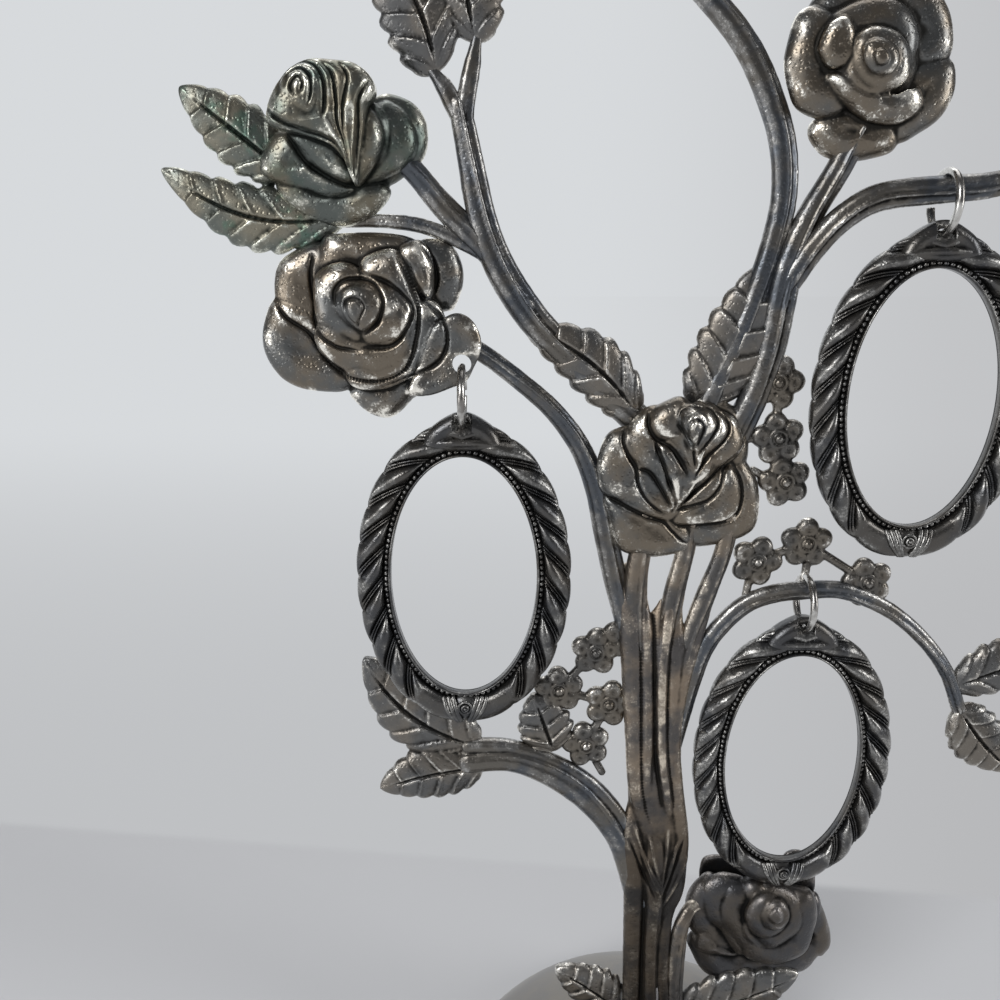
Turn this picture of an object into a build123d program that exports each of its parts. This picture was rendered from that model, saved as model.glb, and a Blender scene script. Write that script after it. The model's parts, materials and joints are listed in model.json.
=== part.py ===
from build123d import *
import math
import os

# The whole stand, in millimetres, origin under the base, front of the tree towards -Y
tree_height = 254.0
half_span = 78.0
relief_depth = 10.0

# Running gap between a ring and what it hangs on, and how far a cutting tool runs past its face
hang_gap = 0.3
cut_overrun = 2.0
disc_sides = 14

# Base: a hollow cast dome on a felt disc, with one screw up into the trunk
base_radius = 38.0
base_height = 25.0
base_wall = 2.6
roof_thickness = 3.2
seat_radius = 9.5
felt_thickness = 1.2
felt_inset = 1.2
screw_radius = 2.0
screw_grip = 9.0
screw_head_radius = 3.6
screw_head_height = 2.4
screw_head_sides = 6
screw_clearance = 0.15
screw_bite = 0.02
washer_radius = 6.0
washer_thickness = 1.0
washer_sides = 20
dome_sides = 32
dome_shares = [(1.0, 0.0), (1.0, 0.09), (0.95, 0.29), (0.82, 0.54), (0.60, 0.79), (0.36, 0.95)]
hollow_shares = [(1.0, 0.0), (0.80, 0.60)]

# Limbs of the tree: fluted stems, widest at the trunk
trunk_depth = 7.4
limb_width = 3.4
limb_depth = 2.9
stem_outline_shares = [(-1, 0.1), (-0.62, -0.95), (0, -0.55), (0.62, -0.95), (1, 0.1), (0.55, 0.9), (-0.55, 0.9)]
trunk_outline_shares = [(-1.0, 0.0), (-0.78, -0.8), (-0.45, -1.0), (-0.2, -0.65), (0.08, -1.0), (0.4, -0.7),
                        (0.7, -0.95), (1.0, -0.1), (0.7, 0.75), (-0.7, 0.75)]
# Trunk edges as left share, right share of the half span, at a share of the height; the foot is on the dome
trunk_foot_share = (-0.105, 0.090)
trunk_edge_shares = [(-0.077, 0.050, 0.122), (-0.071, 0.033, 0.165),
                     (-0.073, 0.050, 0.193), (-0.074, 0.076, 0.217), (-0.076, 0.081, 0.248),
                     (-0.077, 0.055, 0.287), (-0.085, 0.038, 0.327), (-0.087, 0.046, 0.358),
                     (-0.095, 0.056, 0.386)]

# Places of the two rods that carry a ring, used by the limbs and by the rings
arch_hook_share = (0.277, -0.04, 0.435)
far_hook_share = (0.454, -0.24, 0.6755)

# Each limb: its line of places in the tree, and its width along that line
limb_shares = {
    "middle_left_branch": (
        [(-0.045, 0.0, 0.354), (-0.064, 0.0, 0.382), (-0.088, 0.0, 0.409), (-0.118, 0.0, 0.441),
         (-0.141, 0.0, 0.472), (-0.162, 0.0, 0.502), (-0.197, 0.0, 0.528), (-0.251, 0.0, 0.550),
         (-0.323, 0.0, 0.569), (-0.400, 0.0, 0.586), (-0.494, -0.03, 0.601)],
        (1.15, 0.7)),
    "upper_left_branch": (
        [(-0.064, 0.05, 0.539), (-0.135, 0.06, 0.558), (-0.210, 0.04, 0.579), (-0.281, 0.01, 0.600),
         (-0.331, 0.0, 0.621), (-0.367, 0.0, 0.642), (-0.392, 0.0, 0.665), (-0.413, 0.0, 0.695),
         (-0.431, 0.0, 0.723)],
        (1.25, 1.05)),
    "leaf_twig_left": (
        [(-0.427, 0.0, 0.713), (-0.449, 0.0, 0.726), (-0.482, 0.0, 0.740)],
        (0.7, 0.6)),
    "leaf_twig_right": (
        [(-0.425, 0.0, 0.713), (-0.410, 0.0, 0.732), (-0.396, 0.0, 0.756)],
        (0.7, 0.6)),
    "rose_twig": (
        [(-0.315, 0.0, 0.617), (-0.359, 0.0, 0.635), (-0.410, 0.0, 0.652), (-0.462, 0.0, 0.668),
         (-0.518, -0.02, 0.687), (-0.577, -0.06, 0.701)],
        (0.95, 0.9)),
    "thin_twig": (
        [(-0.372, 0.0, 0.639), (-0.431, 0.0, 0.648), (-0.492, 0.0, 0.656), (-0.558, 0.0, 0.659),
         (-0.664, 0.0, 0.659)],
        (0.65, 0.5)),
    "crown_arch": (
        [(0.038, 0.0, 0.541), (0.072, 0.0, 0.569), (0.105, 0.0, 0.594), (0.132, 0.0, 0.620),
         (0.155, 0.0, 0.646), (0.168, 0.0, 0.673), (0.159, 0.0, 0.700), (0.131, 0.0, 0.724),
         (0.087, 0.0, 0.749), (0.021, 0.0, 0.772), (-0.069, 0.0, 0.794), (-0.179, 0.0, 0.807),
         (-0.301, 0.0, 0.809), (-0.391, 0.0, 0.798)],
        (1.05, 0.85)),
    "right_branch": (
        [(0.109, 0.0, 0.535), (0.144, 0.0, 0.561), (0.167, 0.0, 0.588), (0.178, 0.0, 0.614),
         (0.191, 0.0, 0.636), (0.221, 0.0, 0.662), (0.262, 0.0, 0.686), (0.295, -0.04, 0.709)],
        (1.2, 0.95)),
    "far_right_branch": (
        [(0.185, 0.0, 0.622), (0.226, -0.06, 0.643), (0.274, -0.16, 0.661), (0.338, -0.22, 0.672),
         far_hook_share, (0.520, -0.24, 0.677), (0.590, -0.20, 0.682), (0.667, -0.12, 0.691),
         (0.745, -0.06, 0.702)],
        (1.0, 0.9)),
    "lower_right_arch": (
        [(0.033, 0.0, 0.346), (0.051, 0.0, 0.370), (0.074, 0.0, 0.394), (0.110, 0.0, 0.412),
         (0.159, 0.0, 0.426), (0.215, -0.03, 0.433), arch_hook_share, (0.341, -0.02, 0.435),
         (0.403, 0.0, 0.429), (0.474, 0.0, 0.417), (0.544, 0.0, 0.398), (0.597, 0.0, 0.376),
         (0.632, 0.0, 0.350)],
        (0.95, 0.6)),
    "centre_stem_left": (
        [(-0.054, -0.02, 0.374), (-0.068, -0.03, 0.402), (-0.076, -0.04, 0.429), (-0.072, -0.06, 0.457),
         (-0.059, -0.08, 0.486)],
        (1.0, 1.0)),
    "centre_stem_middle": (
        [(-0.008, -0.02, 0.374), (-0.006, -0.03, 0.406), (0.005, -0.04, 0.433), (0.019, -0.06, 0.457),
         (0.031, -0.08, 0.486)],
        (0.9, 0.85)),
    "centre_stem_right": (
        [(0.023, -0.02, 0.366), (0.044, -0.03, 0.404), (0.072, -0.04, 0.433), (0.097, -0.06, 0.459),
         (0.110, -0.08, 0.486)],
        (0.85, 0.8)),
    "lower_rose_stem": (
        [(0.062, -0.08, 0.0995), (0.054, -0.08, 0.130), (0.054, -0.08, 0.161), (0.064, -0.08, 0.185),
         (0.103, -0.06, 0.197), (0.173, -0.04, 0.189)],
        (0.8, 0.75)),
    "lower_left_branch": (
        [(-0.033, 0.0, 0.201), (-0.054, 0.0, 0.226), (-0.082, 0.0, 0.252), (-0.126, 0.0, 0.275),
         (-0.182, 0.0, 0.294), (-0.251, 0.0, 0.308), (-0.333, 0.0, 0.317), (-0.428, 0.0, 0.317)],
        (1.3, 1.6)),
}

# Leaves: base and tip as shares of the half span and the height, and width in millimetres
leaf_thickness = 1.3
leaf_ridge = 1.4
leaf_y_share = 0.04
leaf_side_shares = [(0.0, 0.14), (0.22, 0.84), (0.29, 0.72), (0.50, 1.0), (0.58, 0.82), (0.80, 0.62),
                    (1.0, 0.06)]
broad_leaf_width = 12.6
narrow_leaf_width = 10.6
leaf_places = {
    "fork_leaves": [((-0.469, 0.737), (-0.590, 0.803), broad_leaf_width),
                    ((-0.400, 0.752), (-0.377, 0.836), broad_leaf_width)],
    "left_tip_leaves": [((-0.640, 0.661), (-0.979, 0.687), narrow_leaf_width),
                        ((-0.740, 0.684), (-0.933, 0.730), narrow_leaf_width)],
    "centre_left_leaf": [((-0.082, 0.546), (-0.310, 0.601), narrow_leaf_width)],
    "centre_right_leaf": [((0.028, 0.551), (0.133, 0.634), broad_leaf_width)],
    "lower_left_leaves": [((-0.405, 0.324), (-0.646, 0.387), narrow_leaf_width),
                          ((-0.395, 0.309), (-0.621, 0.292), narrow_leaf_width)],
    "branch_leaf": [((-0.238, 0.320), (-0.285, 0.362), narrow_leaf_width)],
    "far_right_leaves": [((0.850, 0.720), (0.975, 0.776), narrow_leaf_width),
                         ((0.862, 0.689), (1.000, 0.650), narrow_leaf_width)],
    "lower_right_leaves": [((0.628, 0.352), (0.769, 0.305), narrow_leaf_width),
                           ((0.612, 0.368), (0.833, 0.392), narrow_leaf_width)],
    "crown_leaves": [((-0.128, 0.880), (-0.020, 0.965), broad_leaf_width),
                     ((-0.221, 0.886), (-0.290, 1.000), broad_leaf_width)],
    "base_leaves": [((0.065, 0.108), (0.345, 0.140), broad_leaf_width),
                    ((-0.065, 0.108), (-0.225, 0.145), narrow_leaf_width)],
}

# Blossoms: five round petals about a bead, joined by short webs
blossom_radius = 4.4
blossom_thickness = 1.5
blossom_front_share = 0.84
blossom_petal_count = 5
blossom_bead_radius = 1.1
blossom_bead_rise_share = 1.4
blossom_web_width = 1.5
# Outline of one blossom petal: turn from its middle in degrees, and share of the blossom's radius
blossom_lobe_shares = [(-20, 1.0), (20, 1.0), (36, 0.6)]
# Each group: place of its main blossom in the tree, the blossoms about it in blossom radii, the and the links
blossom_group_shares = {
    "centre_blossoms": ((0.194, 0.08, 0.533), [(-0.16, 1.96), (0.0, 0.0), (0.37, -1.56)], [(0, 1), (1, 2)]),
    "arch_blossoms": ((0.272, 0.12, 0.4655), [(-1.77, -0.69), (0.0, 0.0), (2.36, -1.50)], [(0, 1), (1, 2)]),
    "lower_left_blossoms": ((-0.154, 0.08, 0.392),
                            [(1.22, 0.69), (0.0, 0.0), (-1.36, -1.56), (0.55, -2.14), (-0.27, -3.87)],
                            [(1, 2), (2, 3), (3, 4)]),
}

# Roses: a core with rings of cupped petals; reaches are shares of each rose's radius
petal_wall = 1.1
petal_roundness_share = 0.6
petal_edge_share = 0.55
petal_lip_share = 0.88
petal_low_rise_share = 0.6
petal_side_rise_share = 0.7
petal_root_rise_share = 0.3
rose_core_sides = 6
# Core of a rose: share of its radius and share of its depth, from the back to the front
rose_core_shares = [(0.30, 0.0), (0.27, 0.45), (0.10, 0.95)]
# Petal rings: inner edge as a share of the radius, lift and rise as shares of the depth, stations along a petal
rose_ring_shares = {"outer": (0.24, 0.02, 0.24, 4), "middle": (0.18, 0.24, 0.28, 3),
                    "inner": (0.10, 0.48, 0.26, 3), "heart": (0.03, 0.70, 0.20, 4)}
# Petals of the shared rings: turn and spread in degrees, and reach as a share of the radius
heart_petals = [(60, 230, 0.17)]
inner_petals = [(70, 150, 0.34), (190, 150, 0.36), (310, 150, 0.34)]
middle_petals = [(18, 120, 0.60), (108, 120, 0.60), (198, 120, 0.62), (288, 120, 0.60)]
bud_middle_petals = [(55, 130, 0.62), (150, 130, 0.62), (235, 120, 0.66), (305, 120, 0.66)]
rose_sizes = {
    "upper_left_rose": dict(radius=12.6, depth=9.0, place=(-0.628, 0.06, 0.703), middle=bud_middle_petals,
                            outer=[(62, 100, 0.88), (350, 100, 0.96), (278, 96, 0.95),
                                   (208, 96, 0.92), (136, 100, 0.90)]),
    "middle_left_rose": dict(radius=15.6, depth=8.6, place=(-0.600, 0.06, 0.602), middle=middle_petals,
                             outer=[(70, 84, 0.86), (16, 76, 0.98), (148, 84, 0.90), (199, 78, 1.04),
                                    (250, 74, 0.92), (307, 84, 0.90)]),
    "centre_rose": dict(radius=13.8, depth=8.6, place=(-0.008, 0.06, 0.514), middle=bud_middle_petals,
                        outer=[(78, 96, 0.88), (15, 90, 0.94), (310, 96, 0.94), (244, 92, 1.0),
                               (165, 104, 0.98)]),
    "upper_right_rose": dict(radius=14.0, depth=8.8, place=(0.290, 0.06, 0.741), middle=middle_petals,
                             outer=[(92, 96, 0.96), (20, 96, 0.98), (304, 92, 0.95), (236, 90, 0.92),
                                    (164, 96, 0.98)]),
    "far_right_rose": dict(radius=11.6, depth=8.0, place=(0.785, 0.06, 0.703), middle=[],
                           outer=[(80, 120, 0.92), (350, 120, 0.96), (260, 120, 0.95), (170, 120, 0.95)]),
    "crown_rose": dict(radius=12.0, depth=8.2, place=(-0.175, 0.06, 0.846), middle=[],
                       outer=[(90, 120, 0.96), (0, 120, 0.95), (270, 120, 0.94), (180, 120, 0.95)]),
    "lower_right_rose": dict(radius=11.6, depth=8.6, place=(0.226, 0.30, 0.177), middle=middle_petals,
                             outer=[(92, 80, 0.66), (14, 90, 1.08), (316, 84, 1.08), (256, 84, 0.88),
                                    (192, 96, 1.10)]),
}

# Two thin petals stand up behind the lower right rose, at the back of the frame that hangs there
back_petal_width = 9.0
back_petal_shares = [((0.215, 0.188), (0.105, 0.232)), ((0.235, 0.188), (0.300, 0.228))]
back_petal_y_share = 0.42

# Hanging oval frames, all alike
frame_inner_width = 22.6
frame_inner_height = 38.6
frame_band = 5.4
frame_depth = 3.5
rope_lobes_per_side = 9
stations_per_lobe = 2
rope_swell_share = 0.13
lug_width = 11.2
lug_rise = 2.1
lug_thickness = 1.6
lug_hole_radius = 1.2
lug_pocket_width = 4.6
knot_radius = 2.9
knot_sides = 7
knot_place_share = 0.55
knot_profile_shares = [(1.0, 0.0), (0.9, 0.52), (0.4, 0.64)]
frame_profile_shares = [(0.0, -0.60, 0.0, 0.0), (0.33, -0.42, 0.0, 0.0), (0.66, -1.0, 0.5, 0.25),
                        (1.0, -0.15, 1.0, 0.5), (0.84, 0.8, 0.5, 0.5), (0.30, 0.8, 0.0, 0.0),
                        (0.0, 0.2, 0.0, 0.0)]
lug_outline_shares = [(-1.0, -0.9), (-1.0, -0.1), (-0.72, 0.35), (-0.42, 0.30), (-0.25, 0.9), (0.25, 0.9),
                      (0.42, 0.30), (0.72, 0.35), (1.0, -0.1), (1.0, -0.9)]
lug_hole_level = frame_inner_height / 2 + frame_band - lug_hole_radius + hang_gap / 2

# Split jump rings
ring_radius = 4.3
ring_wire = 1.2
ring_split_angle = 8.0
ring_stations = 17
ring_sides = 6

# Lobe of the middle left rose that carries a ring
hook_petal_radius = 3.9
hook_petal_thickness = 1.2
hook_hole_radius = 1.4
hook_offset_share = (0.86, -0.19)
hook_hole_drop = 2.6
hook_y_share = -0.46
hook_root_width = 4.6
hook_root_depth = 2.6
hook_root_share = (0.48, -0.10)
hook_root_end_share = 0.85
hook_root_y_share = -0.22


def spot(x_share, y_share, z_share):
    return Vector(x_share * half_span, y_share * relief_depth, z_share * tree_height)


def triangle(first, second, third):
    return Face(Wire.make_polygon([first, second, third], close=True))


def skin(sections, loop=False):
    """Closed solid whose faces are flat triangles between one outline and the next."""
    faces = []
    spans = len(sections) if loop else len(sections) - 1
    for index in range(spans):
        near = sections[index]
        far = sections[(index + 1) % len(sections)]
        for corner in range(len(near)):
            following = (corner + 1) % len(near)
            faces.append(triangle(near[corner], near[following], far[following]))
            faces.append(triangle(near[corner], far[following], far[corner]))
    if not loop:
        faces.append(Face(Wire.make_polygon(sections[0], close=True)))
        faces.append(Face(Wire.make_polygon(sections[-1], close=True)))
    return Solid(Shell(faces))


def largest(shape):
    return shape.solids().sort_by(SortBy.VOLUME)[-1]


def seat(piece, *neighbours):
    """The piece with its neighbours' space cut out, so that it meets them face to face."""
    return largest(piece - list(neighbours))


def section(centre, along, width, depth, outline):
    across = Vector(0, 1, 0).cross(along).normalized()
    return [centre + across * (a * width / 2) + Vector(0, d * depth / 2, 0) for a, d in outline]


def limb_share_at(width_shares, progress):
    return width_shares[0] + (width_shares[1] - width_shares[0]) * progress


def limb(path_shares, width_shares):
    points = [spot(*share) for share in path_shares]
    sections = []
    for index, point in enumerate(points):
        before = points[max(index - 1, 0)]
        after = points[min(index + 1, len(points) - 1)]
        share = limb_share_at(width_shares, index / (len(points) - 1))
        sections.append(section(point, (after - before).normalized(), limb_width * share,
                                limb_depth * math.sqrt(share), stem_outline_shares))
    return skin(sections)


def trunk():
    sections = []
    for left, right, level in [(*trunk_foot_share, base_height / tree_height)] + trunk_edge_shares:
        middle = spot((left + right) / 2, 0, level)
        width = (right - left) * half_span
        sections.append(section(middle, Vector(0, 0, 1), width, trunk_depth, trunk_outline_shares))
    return skin(sections)


def leaf(base, tip, width, y_share=leaf_y_share):
    start = spot(base[0], y_share, base[1])
    end = spot(tip[0], y_share, tip[1])
    along = (end - start).normalized()
    sections = []
    for progress, side in leaf_side_shares:
        reach = side * 2
        rise = leaf_ridge / leaf_thickness * side
        outline = [(-reach / 2, -0.5), (0, -0.5 - rise), (reach / 2, -0.5),
                   (reach / 2, 0.5), (0, 0.5 - rise), (-reach / 2, 0.5)]
        sections.append(section(start + (end - start) * progress, along, width, leaf_thickness, outline))
    return skin(sections)


def blossom(centre):
    outline = []
    for lobe in range(blossom_petal_count):
        for turn, reach_share in blossom_lobe_shares:
            angle = math.radians(90 + 360 / blossom_petal_count * lobe + turn)
            outline.append(Vector(math.cos(angle), 0, math.sin(angle)) * (blossom_radius * reach_share))
    back = [centre + point for point in outline]
    front = [centre + Vector(0, -blossom_thickness, 0) + point * blossom_front_share for point in outline]
    bead_rise = blossom_thickness * blossom_bead_rise_share
    bead = skin([ring_of_sides(centre, blossom_bead_radius, y, blossom_petal_count) for y in (0, -bead_rise)])
    return [skin([back, front]), bead]


def web(start, end):
    outline = [(-1, -1), (1, -1), (1, 0), (-1, 0)]
    along = (end - start).normalized()
    return skin([section(point, along, blossom_web_width, blossom_thickness, outline)
                 for point in (start, end)])


def blossoms(place_share, offset_shares, links):
    centres = [spot(*place_share) + Vector(x, 0, z) * blossom_radius for x, z in offset_shares]
    pieces = [piece for centre in centres for piece in blossom(centre)]
    pieces += [web(centres[a], centres[b]) for a, b in links]
    return pieces[0].fuse(*pieces[1:])


def petal(centre, turn, spread, inner, outer, lift, rise, stations):
    sections = []
    for index in range(stations):
        swing = -1 + 2 * index / (stations - 1)
        fullness = math.cos(swing * math.pi / 2) ** petal_roundness_share
        reach = inner + (outer - inner) * (petal_edge_share + (1 - petal_edge_share) * fullness)
        height = rise * (petal_low_rise_share + (1 - petal_low_rise_share) * fullness)
        angle = math.radians(turn + swing * spread / 2)
        profile = [(inner, -lift), (reach, -lift - height * petal_side_rise_share),
                   (reach * petal_lip_share, -lift - height - petal_wall),
                   (inner, -lift - height * petal_root_rise_share - petal_wall)]
        sections.append([centre + Vector(math.cos(angle) * r, y, math.sin(angle) * r) for r, y in profile])
    return skin(sections)


def ring_of_sides(centre, radius, y, sides):
    return [centre + Vector(math.cos(2 * math.pi * k / sides) * radius, y,
                            math.sin(2 * math.pi * k / sides) * radius) for k in range(sides)]


def rose(radius, depth, place, middle, outer):
    centre = spot(*place)
    core = skin([ring_of_sides(centre, radius * radius_share, -depth * depth_share, rose_core_sides)
                 for radius_share, depth_share in rose_core_shares])
    rings = {"outer": outer, "middle": middle, "inner": inner_petals, "heart": heart_petals}
    petals = []
    for name, ring in rings.items():
        inner_share, lift_share, rise_share, stations = rose_ring_shares[name]
        for turn, spread, reach_share in ring:
            petals.append(petal(centre, turn, spread, inner_share * radius, reach_share * radius,
                                lift_share * depth, rise_share * depth, stations))
    return core.fuse(*petals)


def disc(centre, radius, thickness):
    """Round plate of narrow flats with its axis along Y, centred on the point."""
    return skin([ring_of_sides(centre, radius, y, disc_sides) for y in (thickness / 2, -thickness / 2)])


def frame_band_solid():
    """Oval band with a plain inner rim, a rebate behind it and a rope of slanting lobes."""
    inner = Edge.make_ellipse(frame_inner_width / 2, frame_inner_height / 2)
    stations = 2 * rope_lobes_per_side * stations_per_lobe
    sections = []
    for index in range(stations):
        share = (0.75 + index / stations) % 1.0
        rise = 1 - abs(1 - 2 * index / stations)
        point = inner.position_at(share)
        tangent = inner.tangent_at(share)
        outline = []
        for band_share, depth_share, swell, shift in frame_profile_shares:
            wave = math.cos(2 * math.pi * (rope_lobes_per_side * rise + shift))
            reach = frame_band * (band_share + rope_swell_share * swell * (wave - 1) / 2)
            depth = frame_depth / 2 * depth_share * (1 + rope_swell_share * swell * (wave - 1))
            outline.append(Vector(point.X + tangent.Y * reach, depth, point.Y - tangent.X * reach))
        sections.append(outline)
    return skin(sections, loop=True)


def frame():
    """One hanging frame about the centre of its opening."""
    band = frame_band_solid()
    lug_points = [(x * lug_width / 2, lug_hole_level + z * lug_rise) for x, z in lug_outline_shares]
    lug_wire = Wire.make_polygon([Vector(x, lug_thickness / 2, z) for x, z in lug_points], close=True)
    lug = Solid.extrude(Face(lug_wire), Vector(0, -lug_thickness, 0))
    knot_centre = Vector(0, 0, -frame_inner_height / 2 - frame_band * knot_place_share)
    knot = skin([ring_of_sides(knot_centre, knot_radius * radius_share, -frame_depth * depth_share, knot_sides)
                 for radius_share, depth_share in knot_profile_shares])
    hole_centre = Vector(0, 0, lug_hole_level)
    pockets = [Pos(0, side * (lug_thickness + frame_depth) / 2, lug_hole_level)
               * Box(lug_pocket_width, frame_depth, lug_pocket_width) for side in (-1, 1)]
    hole = disc(hole_centre, lug_hole_radius, frame_depth)
    return largest((band + lug + knot) - [*pockets, hole])


def jump_ring():
    """Split ring of round wire in the YZ plane, about its own centre."""
    sections = []
    for index in range(ring_stations):
        sweep = (360 - ring_split_angle) * index / (ring_stations - 1)
        angle = math.radians(sweep + ring_split_angle / 2)
        outward = Vector(0, math.cos(angle), math.sin(angle))
        outline = []
        for side in range(ring_sides):
            turn = 2 * math.pi * side / ring_sides
            outline.append(outward * (ring_radius + ring_wire / 2 * math.cos(turn))
                           + Vector(ring_wire / 2 * math.sin(turn), 0, 0))
        sections.append(outline)
    return skin(sections)


def turned(profile, sides=dome_sides):
    """Solid about Z with narrow flats, from radius and level pairs going up."""
    sections = []
    for radius, level in profile:
        sections.append([Vector(math.cos(2 * math.pi * k / sides) * radius,
                                math.sin(2 * math.pi * k / sides) * radius, level) for k in range(sides)])
    return skin(sections)


def screw_way(bottom, top):
    """Cutting tool for the screw's clearance hole between two levels."""
    radius = screw_radius + screw_clearance
    return turned([(radius, bottom - cut_overrun), (radius, top + cut_overrun)], washer_sides)


def base_dome():
    floor = felt_thickness
    height = base_height - floor
    outer = [(r * base_radius, floor + z * height) for r, z in dome_shares] + [(seat_radius, base_height)]
    hollow_radius = base_radius - base_wall
    hollow_height = height - roof_thickness
    inner = [(r * hollow_radius, floor + z * hollow_height) for r, z in hollow_shares]
    inner += [(washer_radius + base_wall, base_height - roof_thickness)]
    return turned(outer) - turned(inner) - screw_way(base_height - roof_thickness, base_height)


def fixing_screw():
    head_top = base_height - roof_thickness - washer_thickness
    length = washer_thickness + roof_thickness + screw_grip
    shank = Pos(0, 0, head_top) * Cylinder(screw_radius, length, align=(Align.CENTER, Align.CENTER, Align.MIN))
    head = turned([(screw_head_radius, head_top - screw_head_height), (screw_head_radius, head_top)],
                  screw_head_sides)
    return head + shank


def fixing_washer():
    under = base_height - roof_thickness
    plate = turned([(washer_radius, under - washer_thickness), (washer_radius, under)], washer_sides)
    return plate - screw_way(under - washer_thickness, under)


# Build every piece
nodes = {}
nodes["base_dome"] = base_dome()
nodes["base_felt"] = turned([(base_radius - felt_inset, 0), (base_radius - felt_inset, felt_thickness)])
nodes["fixing_screw"] = fixing_screw()
nodes["fixing_washer"] = fixing_washer()

screw_hole = Pos(0, 0, base_height) * Cylinder(screw_radius + screw_bite, screw_grip * 2)
trunk_solid = trunk() - screw_hole
nodes["trunk"] = largest(trunk_solid)

limbs = {name: limb(*shares) for name, shares in limb_shares.items()}
carried_by = {
    "lower_left_branch": ["trunk"],
    "lower_right_arch": ["trunk"],
    "middle_left_branch": ["trunk"],
    "centre_stem_left": ["trunk", "middle_left_branch"],
    "centre_stem_middle": ["trunk", "centre_stem_left", "lower_right_arch"],
    "centre_stem_right": ["trunk", "centre_stem_middle", "lower_right_arch"],
    "lower_rose_stem": ["trunk", "base_dome"],
    "upper_left_branch": [],
    "leaf_twig_left": ["upper_left_branch"],
    "leaf_twig_right": ["upper_left_branch", "leaf_twig_left"],
    "rose_twig": ["upper_left_branch"],
    "thin_twig": ["upper_left_branch", "rose_twig"],
    "right_branch": [],
    "crown_arch": ["right_branch"],
    "far_right_branch": ["right_branch"],
}
for name, carriers in carried_by.items():
    nodes[name] = seat(limbs[name], *[nodes[carrier] for carrier in carriers]) if carriers else limbs[name]

limbs_behind_rose = {
    "upper_left_rose": ["rose_twig", "thin_twig"],
    "middle_left_rose": ["middle_left_branch"],
    "centre_rose": ["centre_stem_left", "centre_stem_middle", "centre_stem_right", "upper_left_branch",
                    "crown_arch", "right_branch", "middle_left_branch"],
    "upper_right_rose": ["right_branch"],
    "far_right_rose": ["far_right_branch"],
    "crown_rose": ["crown_arch"],
    "lower_right_rose": ["lower_rose_stem"],
}
hook_rose = rose_sizes["middle_left_rose"]


def in_hook_rose(offset_share, y_share):
    """Place given from the centre of the rose that carries a ring, as a share of its radius."""
    return (spot(hook_rose["place"][0], y_share, hook_rose["place"][2])
            + Vector(offset_share[0], 0, offset_share[1]) * hook_rose["radius"])


def hook_petal(centre):
    """Small round petal in front of the rose, on a root that runs back into it."""
    root_start = in_hook_rose(hook_root_share, hook_root_y_share)
    root_end = root_start + (centre - root_start) * hook_root_end_share
    along = (root_end - root_start).normalized()
    outline = [(-1, -1), (1, -1), (1, 1), (-1, 1)]
    root = skin([section(root_start, along, hook_root_width, hook_root_depth, outline),
                 section(root_end, along, hook_root_width, hook_petal_thickness, outline)])
    return disc(centre, hook_petal_radius, hook_petal_thickness) + root


hook_centre = in_hook_rose(hook_offset_share, hook_y_share)
hook_hole = hook_centre - Vector(0, 0, hook_hole_drop)
for name, sizes in rose_sizes.items():
    flower = rose(**sizes)
    if name == "middle_left_rose":
        flower = flower + hook_petal(hook_centre)
        flower = flower - disc(hook_hole, hook_hole_radius, hook_petal_thickness + 2 * cut_overrun)
    if name == "lower_right_rose":
        for base, tip in back_petal_shares:
            flower = flower + leaf(base, tip, back_petal_width, back_petal_y_share)
    nodes[name] = seat(flower, *[nodes[carrier] for carrier in limbs_behind_rose[name]])

leaf_neighbours = {
    "fork_leaves": ["leaf_twig_left", "leaf_twig_right", "crown_arch"],
    "left_tip_leaves": ["upper_left_rose", "thin_twig"],
    "centre_left_leaf": ["upper_left_branch", "centre_rose"],
    "centre_right_leaf": ["crown_arch", "right_branch", "centre_rose"],
    "lower_left_leaves": ["lower_left_branch"],
    "branch_leaf": ["lower_left_branch"],
    "far_right_leaves": ["far_right_rose"],
    "lower_right_leaves": ["lower_right_arch"],
    "crown_leaves": ["crown_rose"],
    "base_leaves": ["base_dome", "trunk", "lower_rose_stem", "lower_right_rose"],
}
for name, places in leaf_places.items():
    neighbours = [nodes[carrier] for carrier in leaf_neighbours[name]]
    made = []
    for base, tip, width in places:
        made.append(seat(leaf(base, tip, width), *neighbours, *made))
    nodes[name] = Compound(made) if len(made) > 1 else made[0]

blossom_neighbours = {
    "centre_blossoms": ["right_branch", "centre_rose", "centre_right_leaf"],
    "arch_blossoms": ["lower_right_arch"],
    "lower_left_blossoms": ["trunk", "middle_left_branch", "centre_stem_left", "branch_leaf"],
}
for name, shares in blossom_group_shares.items():
    nodes[name] = seat(blossoms(*shares), *[nodes[carrier] for carrier in blossom_neighbours[name]])

# Rings and frames hang from the rose's lobe and from the two rods
def ring_top_on(limb_name, hook_share):
    """Centre of the wire where a ring rests over a limb."""
    path_shares, width_shares = limb_shares[limb_name]
    progress = path_shares.index(hook_share) / (len(path_shares) - 1)
    half_rod = limb_width * limb_share_at(width_shares, progress) / 2
    return spot(*hook_share) + Vector(0, 0, half_rod + hang_gap + ring_wire / 2)


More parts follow.
